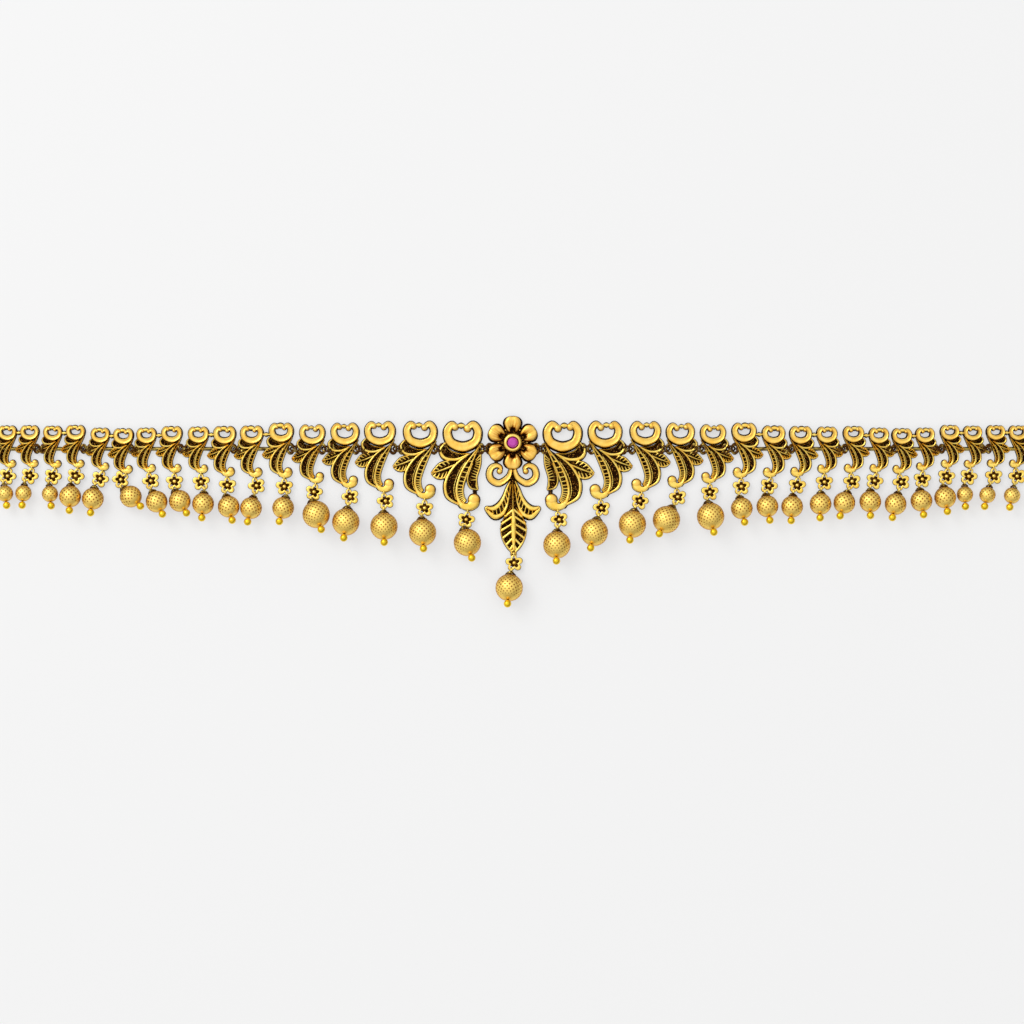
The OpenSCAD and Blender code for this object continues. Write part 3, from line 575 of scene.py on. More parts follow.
def turned(profile, segments, finish):
    """A round solid, extruded and resized through rings of a radius, a height and sometimes a turn."""
    bpy.ops.mesh.primitive_circle_add(vertices=segments, radius=profile[0][0], fill_type="NGON")
    shape = bpy.context.object
    place(shape, Matrix.Translation((0, 0, profile[0][1])))
    shape.data.materials.append(bpy.data.materials[finish])
    edit_all()
    for i in range(1, len(profile)):
        radius, height, *turn = profile[i]
        grow = radius / profile[i - 1][0]
        bpy.ops.mesh.extrude_region_move(TRANSFORM_OT_translate={"value": (0, 0, height - profile[i - 1][1])})
        bpy.ops.transform.resize(value=(grow, grow, 1), center_override=(0, 0, height))
        for degrees in turn:
            bpy.ops.transform.rotate(
                value=-math.radians(degrees), orient_axis="Z", center_override=(0, 0, height))
    leave_edit(outward=True)
    return shape


def select(shape, kind, chosen):
    """Enters edit mode with only the shape's faces or points selected that are chosen by their place."""
    pick(shape)
    faces = kind == "FACES"
    bpy.context.tool_settings.mesh_select_mode = (not faces, False, faces)
    bpy.ops.object.mode_set(mode="EDIT")
    bpy.ops.mesh.select_all(action="DESELECT")
    leave_edit()
    for part in shape.data.polygons if faces else shape.data.vertices:
        part.select = chosen(part.center if faces else part.co)
    bpy.ops.object.mode_set(mode="EDIT")


def place(shape, matrix):
    """Puts a shape in its place, and its place in its mesh."""
    pick(shape)
    shape.matrix_world = matrix
    bpy.ops.object.transform_apply(location=True, rotation=True, scale=True)
    if matrix.determinant() < 0:
        edit_all()
        bpy.ops.mesh.flip_normals()
        leave_edit()
    return shape


def pick(*shapes):
    """Selects only these shapes, the first of them active."""
    bpy.ops.object.select_all(action="DESELECT")
    for shape in shapes:
        shape.select_set(True)
    bpy.context.view_layer.objects.active = shapes[0]


def copied(shape, matrix):
    """A copy of a shape, with a mesh of its own, put in its place."""
    pick(shape)
    bpy.ops.object.duplicate(linked=False)
    return place(bpy.context.object, matrix)


def joined(shapes):
    """One object made of several."""
    pick(*shapes)
    if len(shapes) > 1:
        bpy.ops.object.join()
    return bpy.context.object


def removed(*shapes):
    """Takes the models away that were only there to be copied."""
    for shape in shapes:
        bpy.data.objects.remove(shape)


def finish_piece(piece, name, slot, *nodes, smooth=35):
    """Names a piece, smooths it, sets it on the body it rides on, and hides the parts it stands for."""
    pick(piece)
    bpy.ops.object.shade_smooth_by_angle(angle=math.radians(smooth))
    piece.name = name
    piece.data.name = name
    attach(piece, "root")
    if nodes:
        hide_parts(*nodes)


def feed(tree, made, values):
    """Sets a node's inputs, each to a value or to another node's output."""
    for key, value in values.items():
        if isinstance(value, bpy.types.NodeSocket):
            tree.links.new(value, made.inputs[key])
        else:
            made.inputs[key].default_value = value


def node(tree, kind, values=None, **settings):
    """Adds a shader node with its settings and its inputs."""
    made = tree.nodes.new(kind)
    for key, value in settings.items():
        setattr(made, key, value)
    feed(tree, made, values or {})
    return made


def new_material(name, **values):
    """Makes a node material; gives its tree and shader, whose inputs are named like the values."""
    material = bpy.data.materials.new(name)
    material.use_nodes = True
    tree = material.node_tree
    shader = tree.nodes["Principled BSDF"]
    feed(tree, shader, {key.replace("_", " "): value for key, value in values.items()})
    return tree, shader


def ramp(tree, factor, stops):
    """A colour ramp through stops of a position and a colour."""
    made = node(tree, "ShaderNodeValToRGB", {"Fac": factor})
    elements = made.color_ramp.elements
    while len(elements) < len(stops):
        elements.new(0.5)
    for element, (position, colour) in zip(elements, stops):
        element.position = position
        element.color = (*colour, 1)
    return made.outputs["Color"]


def noise(tree, where, scale, detail=2.0, **more):
    """Cloudy noise over the places of an object."""
    values = {"Vector": where, "Scale": scale, "Detail": detail, **more}
    return node(tree, "ShaderNodeTexNoise", values).outputs["Fac"]


def tinted(tree, colour, tint, share=1.0):
    """A colour multiplied by a tint, as strongly as the share says."""
    made = node(
        tree, "ShaderNodeMix", {0: share, 6: colour, 7: tint}, data_type="RGBA", blend_type="MULTIPLY")
    return made.outputs[2]


def dimmed(colour, share):
    """A colour with less light in it."""
    return tuple(part * share for part in colour)


def surface_grain(tree, shader, scale, strength):
    """Fine uneven grain, felt in the bump of the surface; gives back the object's own places."""
    where = node(tree, "ShaderNodeTexCoord").outputs["Object"]
    grain = noise(tree, where, scale, 3.0, Roughness=0.6)
    bump = node(tree, "ShaderNodeBump", {"Strength": strength, "Distance": GRAIN_REACH, "Height": grain})
    feed(tree, shader, {"Normal": bump.outputs["Normal"]})
    return where


def worn_and_shaded_gold(name, face, edge, patina, dark_z, bright_z, rough):
    """Gold that is bright on top and turns brown and then black lower down: the black is patina in the
    recesses, the brown on the flanks partly oxide and partly painted shade.
    """
    tree, shader = new_material(name, Metallic=1.0)
    where = surface_grain(tree, shader, *GOLD_GRAIN)
    axes = node(tree, "ShaderNodeSeparateXYZ", {"Vector": where})
    level = node(tree, "ShaderNodeMapRange", {
        "Value": axes.outputs["Z"], "From Min": dark_z * MM, "From Max": bright_z * MM})
    cloud = noise(tree, where, GOLD_CLOUD)
    uneven = node(
        tree, "ShaderNodeMath", {0: cloud, 1: GOLD_WEAR, 2: -GOLD_WEAR / 2}, operation="MULTIPLY_ADD")
    level_here = node(
        tree, "ShaderNodeMath", {0: level.outputs["Result"], 1: uneven.outputs["Value"]},
        operation="ADD", use_clamp=True).outputs["Value"]
    # Patina in the recesses, then brown on the flanks that is partly painted shade, then the face's gold
    base = ramp(tree, level_here, ((0.0, patina), (0.35, patina), (0.62, edge), (0.9, face)))
    tone = ramp(tree, cloud, ((0.36, (0.96, 0.82, 0.56)), (0.62, (1, 1, 1))))
    gloss = node(tree, "ShaderNodeMapRange", {"Value": level_here, "To Min": 0.75, "To Max": rough})
    feed(tree, shader, {"Base Color": tinted(tree, base, tone), "Roughness": gloss.outputs["Result"]})


def add_veins(material):
    """Brown veins that fan out from the stone and fade along the petals."""
    tree = material.node_tree
    shader = tree.nodes["Principled BSDF"]
    plain = shader.inputs["Base Color"].links[0].from_socket
    where = node(tree, "ShaderNodeTexCoord").outputs["Object"]
    axes = node(tree, "ShaderNodeSeparateXYZ", {"Vector": where}).outputs
    flat = node(tree, "ShaderNodeCombineXYZ", {"X": axes["X"], "Y": axes["Y"]})
    out = node(tree, "ShaderNodeVectorMath", {0: flat.outputs["Vector"]}, operation="LENGTH").outputs["Value"]
    angle = node(tree, "ShaderNodeMath", {0: axes["Y"], 1: axes["X"]}, operation="ARCTAN2")
    fan = node(tree, "ShaderNodeCombineXYZ", {"X": angle.outputs["Value"], "Y": out})
    stretch = node(
        tree, "ShaderNodeVectorMath", {0: fan.outputs["Vector"], 1: VEIN_STRETCH}, operation="MULTIPLY")
    veins = noise(tree, stretch.outputs["Vector"], 1.0)
    lines = ramp(tree, veins, ((0.42, VEIN_TINT), (0.58, (1, 1, 1))))
    fade = node(tree, "ShaderNodeMapRange", {
        "Value": out, "From Min": VEIN_FADE[0] * MM, "From Max": VEIN_FADE[1] * MM,
        "To Min": 1.0, "To Max": 0.0})
    feed(tree, shader, {"Base Color": tinted(tree, plain, lines, fade.outputs["Result"])})


def stippled_patina(name, patina, brown, glint):
    """Near-black recess with fine stipple that catches a little gold."""
    tree, shader = new_material(name, Roughness=0.6, Metallic=1.0)
    where = node(tree, "ShaderNodeTexCoord").outputs["Object"]
    dots = node(tree, "ShaderNodeTexVoronoi", {"Vector": where, "Scale": STIPPLE_SCALE}).outputs["Distance"]
    colour = ramp(tree, dots, ((0.0, glint), (0.14, glint), (0.24, brown), (0.36, patina)))
    bump = node(tree, "ShaderNodeBump", {"Strength": 0.6, "Distance": 0.0002, "Height": dots}, invert=True)
    feed(tree, shader, {"Normal": bump.outputs["Normal"], "Base Color": colour})


def even_gold(name, colour, shade, rough, scale, strength):
    """Gold of one finish all over, a little uneven in tone."""
    tree, shader = new_material(name, Roughness=rough, Metallic=1.0)
    cloud = noise(tree, surface_grain(tree, shader, scale, strength), CLOUD_SCALE, 3.0)
    feed(tree, shader, {"Base Color": ramp(tree, cloud, ((0.3, shade), (0.6, colour)))})


def shaded_bead(name, colour, shade, rough):
    """Bead gold that turns brown toward the end that hangs from the flower, with painted shade that darkens
    it toward its sides.
    """
    tree, shader = new_material(name, Roughness=rough, Metallic=1.0)
    cloud = noise(tree, surface_grain(tree, shader, *BEAD_GRAIN), CLOUD_SCALE, 3.0)
    axis = node(tree, "ShaderNodeSeparateXYZ", {"Vector": node(tree, "ShaderNodeTexCoord").outputs["UV"]})
    level = node(tree, "ShaderNodeMath", {0: cloud, 1: 0.3, 2: axis.outputs["Y"]}, operation="MULTIPLY_ADD")
    stops = ((0.26, shade), (0.48, dimmed(colour, 0.8)), (0.66, colour), (1.0, colour))
    # Painted shade: darker toward the bead's sides, by the height of each point
    rise = node(tree, "ShaderNodeAttribute", attribute_name="rise")
    side_shade = ramp(tree, rise.outputs["Fac"], SIDE_SHADE_TONES)
    feed(tree, shader, {"Base Color": tinted(tree, ramp(tree, level.outputs["Value"], stops), side_shade)})


def glinting_wire(name, dark, gold, glint_from):
    """Tarnished wire, near black, with gold spots that are partly worn places and partly painted glints."""
    tree, shader = new_material(name, Roughness=0.4, Metallic=1.0)
    # Gold spots, partly worn places and partly painted glints
    spots = noise(tree, surface_grain(tree, shader, *WIRE_GRAIN), WIRE_SPOTS)
    worn_and_glint = tuple((a + b) / 3 for a, b in zip(dark, gold))
    stops = (
        (0.0, dimmed(dark, 0.2)), (glint_from - 0.14, dark), (glint_from, worn_and_glint),
        (glint_from + 0.12, gold),
    )
    feed(tree, shader, {"Base Color": ramp(tree, spots, stops)})


def pink_glass(name, colour):
    """Cut pink stone, a little cloudy inside."""
    tree, shader = new_material(name, Roughness=0.08, IOR=1.6)
    cloud = noise(tree, node(tree, "ShaderNodeTexCoord").outputs["Object"], STONE_CLOUD)
    light = tuple(min(1.0, c * 1.15 + 0.03) for c in colour)
    feed(tree, shader, {"Base Color": ramp(tree, cloud, ((0.35, colour), (0.7, light)))})


class BELT_OT_finishes(bpy.types.Operator):
    """Mix the materials of the metal, the patina and the stone"""
    bl_idname = "belt.finishes"
    bl_label = "Mix the finishes"

    def execute(self, context):
        group = context.scene.belt_finish
        colours = {name: tuple(getattr(group, name)) for name in group.__annotations__}
        patina = colours["patina"]
        brown = colours["edge_brown"]
        bright = colours["rim_gold"]
        wire = colours["wire_brown"]
        ball = colours["ball_gold"]
        for name, (colour, dark_z, bright_z, rough) in WORN_AND_SHADED_GOLDS.items():
            worn_and_shaded_gold(name, colours[colour], brown, patina, dark_z, bright_z, rough)
        add_veins(bpy.data.materials["petal_gold"])
        glint = tuple((a + b) / 2 for a, b in zip(brown, colours["face_gold"]))
        stippled_patina("recess_patina", patina, brown, glint)
        shaded_bead("netted_gold", colours["bead_gold"], brown, 0.46)
        shaded_bead("bead_pit", colours["pit_brown"], dimmed(brown, 0.35), 0.6)
        even_gold("ball_gold", ball, dimmed(ball, 0.85), 0.22, 900, 0.1)
        even_gold("dull_gold", dimmed(bright, 0.45), wire, 0.4, 1500, 0.3)
        even_gold("ring_gold", bright, dimmed(bright, 0.6), 0.35, 1500, 0.2)
        even_gold("collar_gold", bright, dimmed(bright, 0.75), 0.3, 1200, 0.15)
        glinting_wire("tarnished_wire", wire, bright, 0.66)
        glinting_wire("wound_wire", wire, bright, 0.6)
        pink_glass("cut_pink", colours["stone_pink"])
        return {"FINISHED"}


def open_rim(rows, steps, top):
    """A bright rounded band whose ends run into other shapes."""
    return sweep(ROUND_BAND, along(rows, steps, top), "rim_gold")


def rim(rows, steps, top):
    """A bright rounded band with round ends."""
    return sweep(ROUND_BAND, round_ends(along(rows, steps, top)), "rim_gold")


def bar(points, widths, steps, top):
    """A bright bar from point to point."""
    return open_rim([(at.x, at.y, width) for at, width in zip(points, widths)], steps, top)


def hollow(left_rows, right_rows, spans, count):
    """A dark recess that fills the space between two curves."""
    return sweep(HOLLOW, between(left_rows, right_rows, 0, spans, count, BACK_TOP), "recess_patina")


def bolder(rows, bold):
    """The same rows of a band with its widths scaled."""
    return [(x, y, width * bold) for x, y, width in rows]


def heart_shapes(heart_top, steps, bold, tie):
    """The heart band with its two curls and the tie between them."""
    shapes = [sweep(FLAT_BAND, along(bolder(HEART, bold), steps, heart_top), "heart_gold")]
    for x, y, radius in HEART_CURLS:
        shapes.append(dome(x, y, radius, heart_top + 0.12, "heart_gold"))
    shapes.append(open_rim(tie, 4, RIM_TOP))
    return shapes


def crescent_shapes(steps, bold):
    """The crescent under the heart, with a dark recess inside its rims."""
    return [
        hollow(CRESCENT_TOP, CRESCENT_RIM, 4, 4 * steps),
        rim(bolder(CRESCENT_RIM, bold), steps, RIM_TOP),
        open_rim(bolder(CRESCENT_TOP, bold), steps, RIM_TOP - 0.2),
    ]


def leaf_shapes(steps, bold):
    """The serrated leaf: two dark halves, a vein, and side ribs that end in small teeth."""
    shapes = [
        hollow(LEAF_UPPER, LEAF_VEIN, 4, 2 * steps),
        hollow(LEAF_VEIN, LEAF_LOWER, 4, 2 * steps),
        rim(bolder(LEAF_VEIN, bold), steps, RIM_TOP),
        open_rim(bolder(LEAF_UPPER, bold), steps, RIM_TOP - 0.3),
        open_rim(bolder(LEAF_LOWER, bold), steps, RIM_TOP - 0.3),
    ]
    for edge in (LEAF_UPPER, LEAF_LOWER):
        for k in range(LEAF_TEETH):
            u = 1.0 + LEAF_TOOTH_STEP * k
            tooth = curve_point(edge, u)
            root = curve_point(LEAF_VEIN, u - 0.25).lerp(tooth, 0.42)
            tip = tooth + (tooth - root) * 0.1
            shapes.append(bar((root, tooth, tip), LEAF_TOOTH_WIDTHS, 2, RIM_TOP - 0.15))
    return shapes


def stem_shapes(steps, rungs, bold):
    """The lobe and the runged stem, which sweeps round into the curl's ball."""
    stem = along(bolder(STEM_OUTER, bold), steps, RIM_TOP + 0.3)
    shapes = [
        hollow(STEM_OUTER, LOBE, 4, 4 * steps),
        hollow(STEM_INNER, STEM_OUTER, 4, 4 * steps),
        rim(bolder(LOBE, bold), steps, RIM_TOP),
        sweep(ROUND_BAND, round_ends(stem[:4 * steps + 1]), "rim_gold"),
        sweep(CURL_BAND, round_ends(stem[4 * steps - 1:]), "rim_gold"),
        rim(bolder(STEM_INNER, bold), steps, RIM_TOP),
        dome(*STEM_BALL, RIM_TOP + 0.4, "heart_gold", 20),
    ]
    for k in range(rungs):
        shapes.append(rung(STEM_OUTER, STEM_INNER, RUNG_FROM + RUNG_SPAN * k / (rungs - 1)))
    shapes.append(bead_line())
    return shapes


def bead_line():
    """A line of fine beads along the stem, made as one band that swells and narrows."""
    rows = []
    for k in range(BEAD_LINE_ROWS):
        u = BEAD_LINE_FROM + BEAD_LINE_STEP * k
        at = curve_point(STEM_OUTER, u).lerp(curve_point(LOBE, u), BEAD_LINE)
        rows.append((at.x, at.y, BEAD_LINE_WIDTHS[k % 2]))
    return sweep(BEAD_BAND, along(rows, 1, RIM_TOP - 0.35), "rim_gold")


def rung(left_rows, right_rows, u):
    """A small bar across the channel between two rims."""
    a = curve_point(left_rows, u)
    b = curve_point(right_rows, u)
    return bar((a, (a + b) / 2, b), RUNG_WIDTHS, 1, RIM_TOP - 0.25)


def spur_shapes(steps):
    """The first link's inner leaf, and its neck down to the curl."""
    shapes = [
        hollow(SPUR_INNER, SPUR_OUTER, 3, 3 * steps),
        rim(SPUR_OUTER, steps, RIM_TOP),
        rim(SPUR_INNER, steps, RIM_TOP - 0.2),
        sweep(ROUND_BAND, along(SPUR_NECK, 2, RIM_TOP - 0.5), "recess_patina"),
    ]
    for k in range(SPUR_TEETH):
        edge = curve_point(SPUR_INNER, SPUR_TOOTH_FROM + SPUR_TOOTH_STEP * k)
        tip = edge.lerp(nearest(SPUR_OUTER, edge), 0.62)
        shapes.append(bar((edge, tip), SPUR_TOOTH_WIDTHS, 2, RIM_TOP - 0.25))
    return shapes


def motif_model(heart_top, steps, rungs, bold=1.0, tie=HEART_TIE, spur=False):
    """One whole motif, in heart widths across and millimetres high."""
    shapes = heart_shapes(heart_top, steps + 1, bold, tie) + crescent_shapes(steps, bold)
    shapes += leaf_shapes(steps, bold) + stem_shapes(steps, rungs, bold)
    if spur:
        shapes += spur_shapes(steps)
    return joined(shapes)


def motif_place(side, i):
    """Where the i-th motif of a side lies and how large it is."""
    x, width, top = MOTIFS[i - 1]
    return (
        Matrix.Scale(MM, 4) @ Matrix.Translation((side * x, top, 0))
        @ Matrix.Diagonal((-side * width, width, 1, 1)))


def foot(side, i):
    """Lowest point of a motif, where its drop hangs."""
    x, width, top = MOTIFS[i - 1]
    return Vector((side * (x - FOOT[0] * width), top + FOOT[1] * width))


def inner_edge(i):
    """How far out a plate's motif starts."""
    return MOTIFS[i - 1][0] - PLATE_INNER * MOTIFS[i - 1][1]


def outer_edge(i):
    """How far out a plate's motif ends."""
    return MOTIFS[i - 1][0] + PLATE_OUTER * MOTIFS[i - 1][1]


def join_x(join):
    """How far out a join's ring lies; join 0 is the one at the plaque."""
    motif = join if join <= LINKS else 2 * join - LINKS
    if motif == 0:
        return (PETAL_REACH - PLAQUE_EDGE + inner_edge(1)) / 2
    if motif == len(MOTIFS):
        return outer_edge(motif) + JUMP_RING / 2
    return (outer_edge(motif) + inner_edge(motif + 1)) / 2


def join_ring(join):
    """Middle radius of a join's ring."""
    return BIG_RING if join <= BIG_JOINS else SMALL_RING


def ring_eye(side, join, toward):
    """The tall dark eye that takes a join's ring, on a short bar that reaches into its plate."""
    last = join == LINKS + PAIRS
    radius = JUMP_RING * LAST_EYE_SHARE if last else join_ring(join)
    x = side * (join_x(join) + toward * radius)
    small = join > BIG_JOINS
    rows = [
        (x + side * toward * reach, -JOIN_DROP, width)
        for reach, width in ((EYE_BAR_FROM, EYE_BAR_WIDE), (EYE_BAR_TO[small], EYE_BAR_THIN))
    ]
    return [
        eyelet(x, -JOIN_DROP, EYE_R[small], EYE_WIRE, "tarnished_wire", EYE_STRETCH),
        sweep(ROUND_BAND, round_ends(along(rows, 1, EYE_Z - 0.3)), "tarnished_wire"),
    ]


def foot_eye(at):
    """The small eye at the foot of a motif that takes a drop's ring."""
    return eyelet(at[0], at[1] + DROP_RING, FOOT_EYE, FOOT_WIRE, "rim_gold")


def plate_eyes(side, first, last):
    """The eyes of a plate: two for its rings, and one at the foot of each motif."""
    inner = first - 1 if first <= LINKS else (first + LINKS - 1) // 2
    eyes = ring_eye(side, inner, 1) + ring_eye(side, inner + 1, -1)
    eyes += [foot_eye(foot(side, i)) for i in range(first, last + 1)]
    return [place(eye, Matrix.Scale(MM, 4)) for eye in eyes]


class BELT_OT_links(bpy.types.Operator):
    """Model the single links, with an inner leaf on the first one of each side"""
    bl_idname = "belt.links"
    bl_label = "Model the links"

    def execute(self, context):
        relief = context.scene.belt_relief
        first = motif_model(relief.heart_top, 6, relief.rungs, spur=True)
        other = motif_model(relief.heart_top, 6, relief.rungs)
        for side in (LEFT, RIGHT):
            for i in range(1, LINKS + 1):
                model = first if i == 1 else other
                shapes = [copied(model, motif_place(side, i))] + plate_eyes(side, i, i)
                name = f"link_{SIDE_NAMES[side]}_{i}"
                finish_piece(joined(shapes), f"cast_{name}", "antique_gold", name)
        removed(first, other)
        return {"FINISHED"}


class BELT_OT_pairs(bpy.types.Operator):
    """Model the cast pairs of motifs with the two bars that hold them together"""
    bl_idname = "belt.pairs"
    bl_label = "Model the pairs"

    def execute(self, context):
        relief = context.scene.belt_relief
        model = motif_model(relief.heart_top, 4, relief.pair_rungs, relief.pair_bold, PAIR_TIE)
        for side in (LEFT, RIGHT):
            for pair in range(1, PAIRS + 1):
                first = LINKS + 2 * pair - 1
                shapes = [copied(model, motif_place(side, i)) for i in (first, first + 1)]
                shapes += self.bars(side, first) + plate_eyes(side, first, first + 1)
                name = f"pair_{SIDE_NAMES[side]}_{pair}"
                finish_piece(joined(shapes), f"cast_{name}", "antique_gold", name)
        removed(model)
        return {"FINISHED"}

    def bars(self, side, first):
        """The knotted upper bar between the hearts and the plain lower one."""
        (ax, aw, at), (bx, bw, bt) = MOTIFS[first - 1], MOTIFS[first]
        high = min(at - UPPER_BAR_DROP * aw, bt - UPPER_BAR_DROP * bw)
        a = side * (ax + BAR_END * aw)
        b = side * (bx - BAR_END * bw)
        middle = (a + b) / 2
        places = (a, (a + middle) / 2, middle, (b + middle) / 2, b)
        upper = [(x, high, width) for x, width in zip(places, UPPER_BAR_WIDTHS)]
        lower_end = side * (bx - LOWER_BAR_END * bw)
        lower = [(x, -JOIN_DROP, LOWER_BAR_WIDTH) for x in (a, lower_end)]
        bars = [
            open_rim(upper, 4, RIM_TOP - 0.1),
            sweep(ROUND_BAND, along(lower, 2, BACK_TOP + 0.2), "dull_gold"),
        ]
        return [place(shape, Matrix.Scale(MM, 4)) for shape in bars]


class BELT_OT_plaque(bpy.types.Operator):
    """Model the centre plaque: flower, collar, scrolls, horns and the long leaf"""
    bl_idname = "belt.plaque"
    bl_label = "Model the plaque"

    def execute(self, context):
        shapes = self.petals() + self.middle() + [foot_eye(PLAQUE_FOOT)]
        for side in (LEFT, RIGHT):
            shapes += ring_eye(side, 0, -1)
        for half, shift in ((self.scroll() + self.horn(), 0.0), (self.leaf_half(), PLAQUE_LEAF_X)):
            model = joined(half)
            for side in (LEFT, RIGHT):
                where = Matrix.Translation((shift, 0, 0)) @ Matrix.Diagonal((side, 1, 1, 1))
                shapes.append(copied(model, where))
            removed(model)
        plaque = place(joined(shapes), Matrix.Scale(MM, 4))
        finish_piece(plaque, "cast_plaque", "antique_gold", "centre_plaque")
        return {"FINISHED"}

    def petals(self):
        """Six domed petals, each with a groove that runs out from the collar."""
        petal = sweep(PETAL_DOME, along(PETAL, 2), "petal_gold")
        for end in GROOVE_ENDS:
            select(petal, "POINTS", lambda at: abs(at.y) < GROOVE_HALF and at.z > GROOVE_FLOOR and at.x < end)
            bpy.ops.transform.translate(value=(0, 0, -GROOVE_STEP))
            leave_edit()
        petals = [copied(petal, Matrix.Rotation(math.radians(30 + 60 * k), 4, "Z")) for k in range(6)]
        removed(petal)
        return petals

    def middle(self):
        """The collar round the stone, the stem below the flower, and the ridge down the leaf."""
        out, radius, top = PETAL_BALL
        balls = [
            dome(out * math.cos(math.tau * k / PETAL_BALLS), out * math.sin(math.tau * k / PETAL_BALLS),
                 radius, top, "rim_gold", 10)
            for k in range(PETAL_BALLS)
        ]
        return balls + [
            turned(PLAQUE_BED, 24, "recess_patina"),
            turned(COLLAR, 40, "collar_gold"),
            turned(COLLAR_FLOOR, 24, "recess_patina"),
            sweep(ROUND_BAND, along(PLAQUE_STEM, 3, BACK_TOP + 0.2), "recess_patina"),
            open_rim(PLAQUE_MIDRIB, 4, RIM_TOP + 0.2),
            open_rim(PLAQUE_LINE, 4, BACK_TOP + 0.45),
        ]

    def scroll(self):
        """The broad scroll beside the stem, its ball, and the neck that ties it to the petals."""
        return [
            sweep(FLAT_BAND, along(SCROLL, 4, HEART_TOP), "heart_gold"),
            sweep(ROUND_BAND, along(SCROLL_NECK, 2, BACK_TOP + 0.3), "recess_patina"),
            dome(*SCROLL_BALL, HEART_TOP + 0.1, "heart_gold", 20),
        ]

    def horn(self):
        """The curved horn with its dark hollow, two rims and the bars between them."""
        spans = len(HORN_UPPER) - 1
        shapes = [
            hollow(HORN_UPPER, HORN_LOWER, spans, 4 * spans),
            open_rim(HORN_UPPER, 4, RIM_TOP),
            open_rim(HORN_LOWER, 4, RIM_TOP + 0.1),
            rim(HORN_TIP, 3, RIM_TOP),
        ]
        for k in range(HORN_BARS):
            u = HORN_BAR_FROM + k * HORN_BAR_STEP
            a = curve_point(HORN_UPPER, u)
            b = curve_point(HORN_LOWER, u)
            length = (a - b).xy.length
            widths = [share * length for share in (HORN_BAR_ENDS, HORN_BAR_MIDDLE, HORN_BAR_ENDS)]
            shapes.append(bar((a, (a + b) / 2, b), widths, 2, RIM_TOP - 0.2))
        return shapes

    def leaf_half(self):
        """Left half of the long leaf, drawn from its own axis."""
        axis = [(0, y, width) for x, y, width in PLAQUE_LEAF_EDGE]
        spans = len(axis) - 1
        shapes = [
            hollow(axis, PLAQUE_LEAF_EDGE, spans, 3 * spans),
            rim(PLAQUE_LEAF_EDGE, 4, RIM_TOP),
        ]
        for k in range(PLAQUE_RIBS):
            u = PLAQUE_RIB_FROM + PLAQUE_RIB_STEP * k
            root = curve_point(axis, u)
            tip = curve_point(PLAQUE_LEAF_EDGE, u + PLAQUE_RIB_SLOPE)
            shapes.append(bar((root, (root + tip) / 2, tip), PLAQUE_RIB_WIDTHS, 3, RIM_TOP - 0.1))
        return shapes


class BELT_OT_stone(bpy.types.Operator):
    """Cut the pink stone, with a table over two rings of crown facets"""
    bl_idname = "belt.stone"
    bl_label = "Cut the stone"

    def execute(self, context):
        stone = turned(STONE, 16, "cut_pink")
        select(stone, "FACES", lambda at: True)
        bpy.ops.mesh.quads_convert_to_tris()
        leave_edit()
        place(stone, Matrix.Scale(MM, 4))
        finish_piece(stone, "cut_stone", "pink_stone", "centre_stone", smooth=1)
        return {"FINISHED"}


def drops(side):
    """Foot, leans and number of each drop of a side, the plaque's own with those of the left."""
    rows = LEFT_DROPS if side == LEFT else RIGHT_DROPS
    own = [(Vector(PLAQUE_FOOT), CENTRE_DROP, 0)] if side == LEFT else []
    return own + [(foot(side, i), row, i) for i, row in enumerate(rows, 1)]


def leaning(degrees):
    """Direction of a lean, seen from above."""
    return Vector((math.sin(math.radians(degrees)), -math.cos(math.radians(degrees))))


def flower_centre(at, leans):
    """Where a drop's flower has its middle."""
    return at - Vector((0, DROP_RING)) + FLOWER_EYE * leaning(leans[0])


def pin_reach(radius):
    """Distance from the middle of a pin's loop to that of its bead."""
    return PIN_LOOP + PIN_WIRE / 2 + NECK_SHARE * (radius - NECK_FROM) + radius


def bead_place(at, leans, radius):
    """Where a bead lies: its +X runs down the pin, which dips from the flower to the surface."""
    flower, petal, pin = leans
    hole = flower_centre(at, leans) + PETAL_AT * leaning(flower + 36 * petal)
    pitch = math.asin((radius - EYE_Z) / pin_reach(radius))
    middle = hole + (PIN_LOOP + pin_reach(radius) * math.cos(pitch)) * leaning(pin)
    return (
        Matrix.Scale(MM, 4) @ Matrix.Translation((middle.x, middle.y, radius))
        @ Matrix.Rotation(math.radians(pin - 90), 4, "Z") @ Matrix.Rotation(-pitch, 4, "Y"))


def bead_radius(beads, i):
    """Radius of the bead on the i-th drop."""
    return beads.large if i <= LARGE_DROPS else beads.medium if i <= MEDIUM_DROPS else beads.small


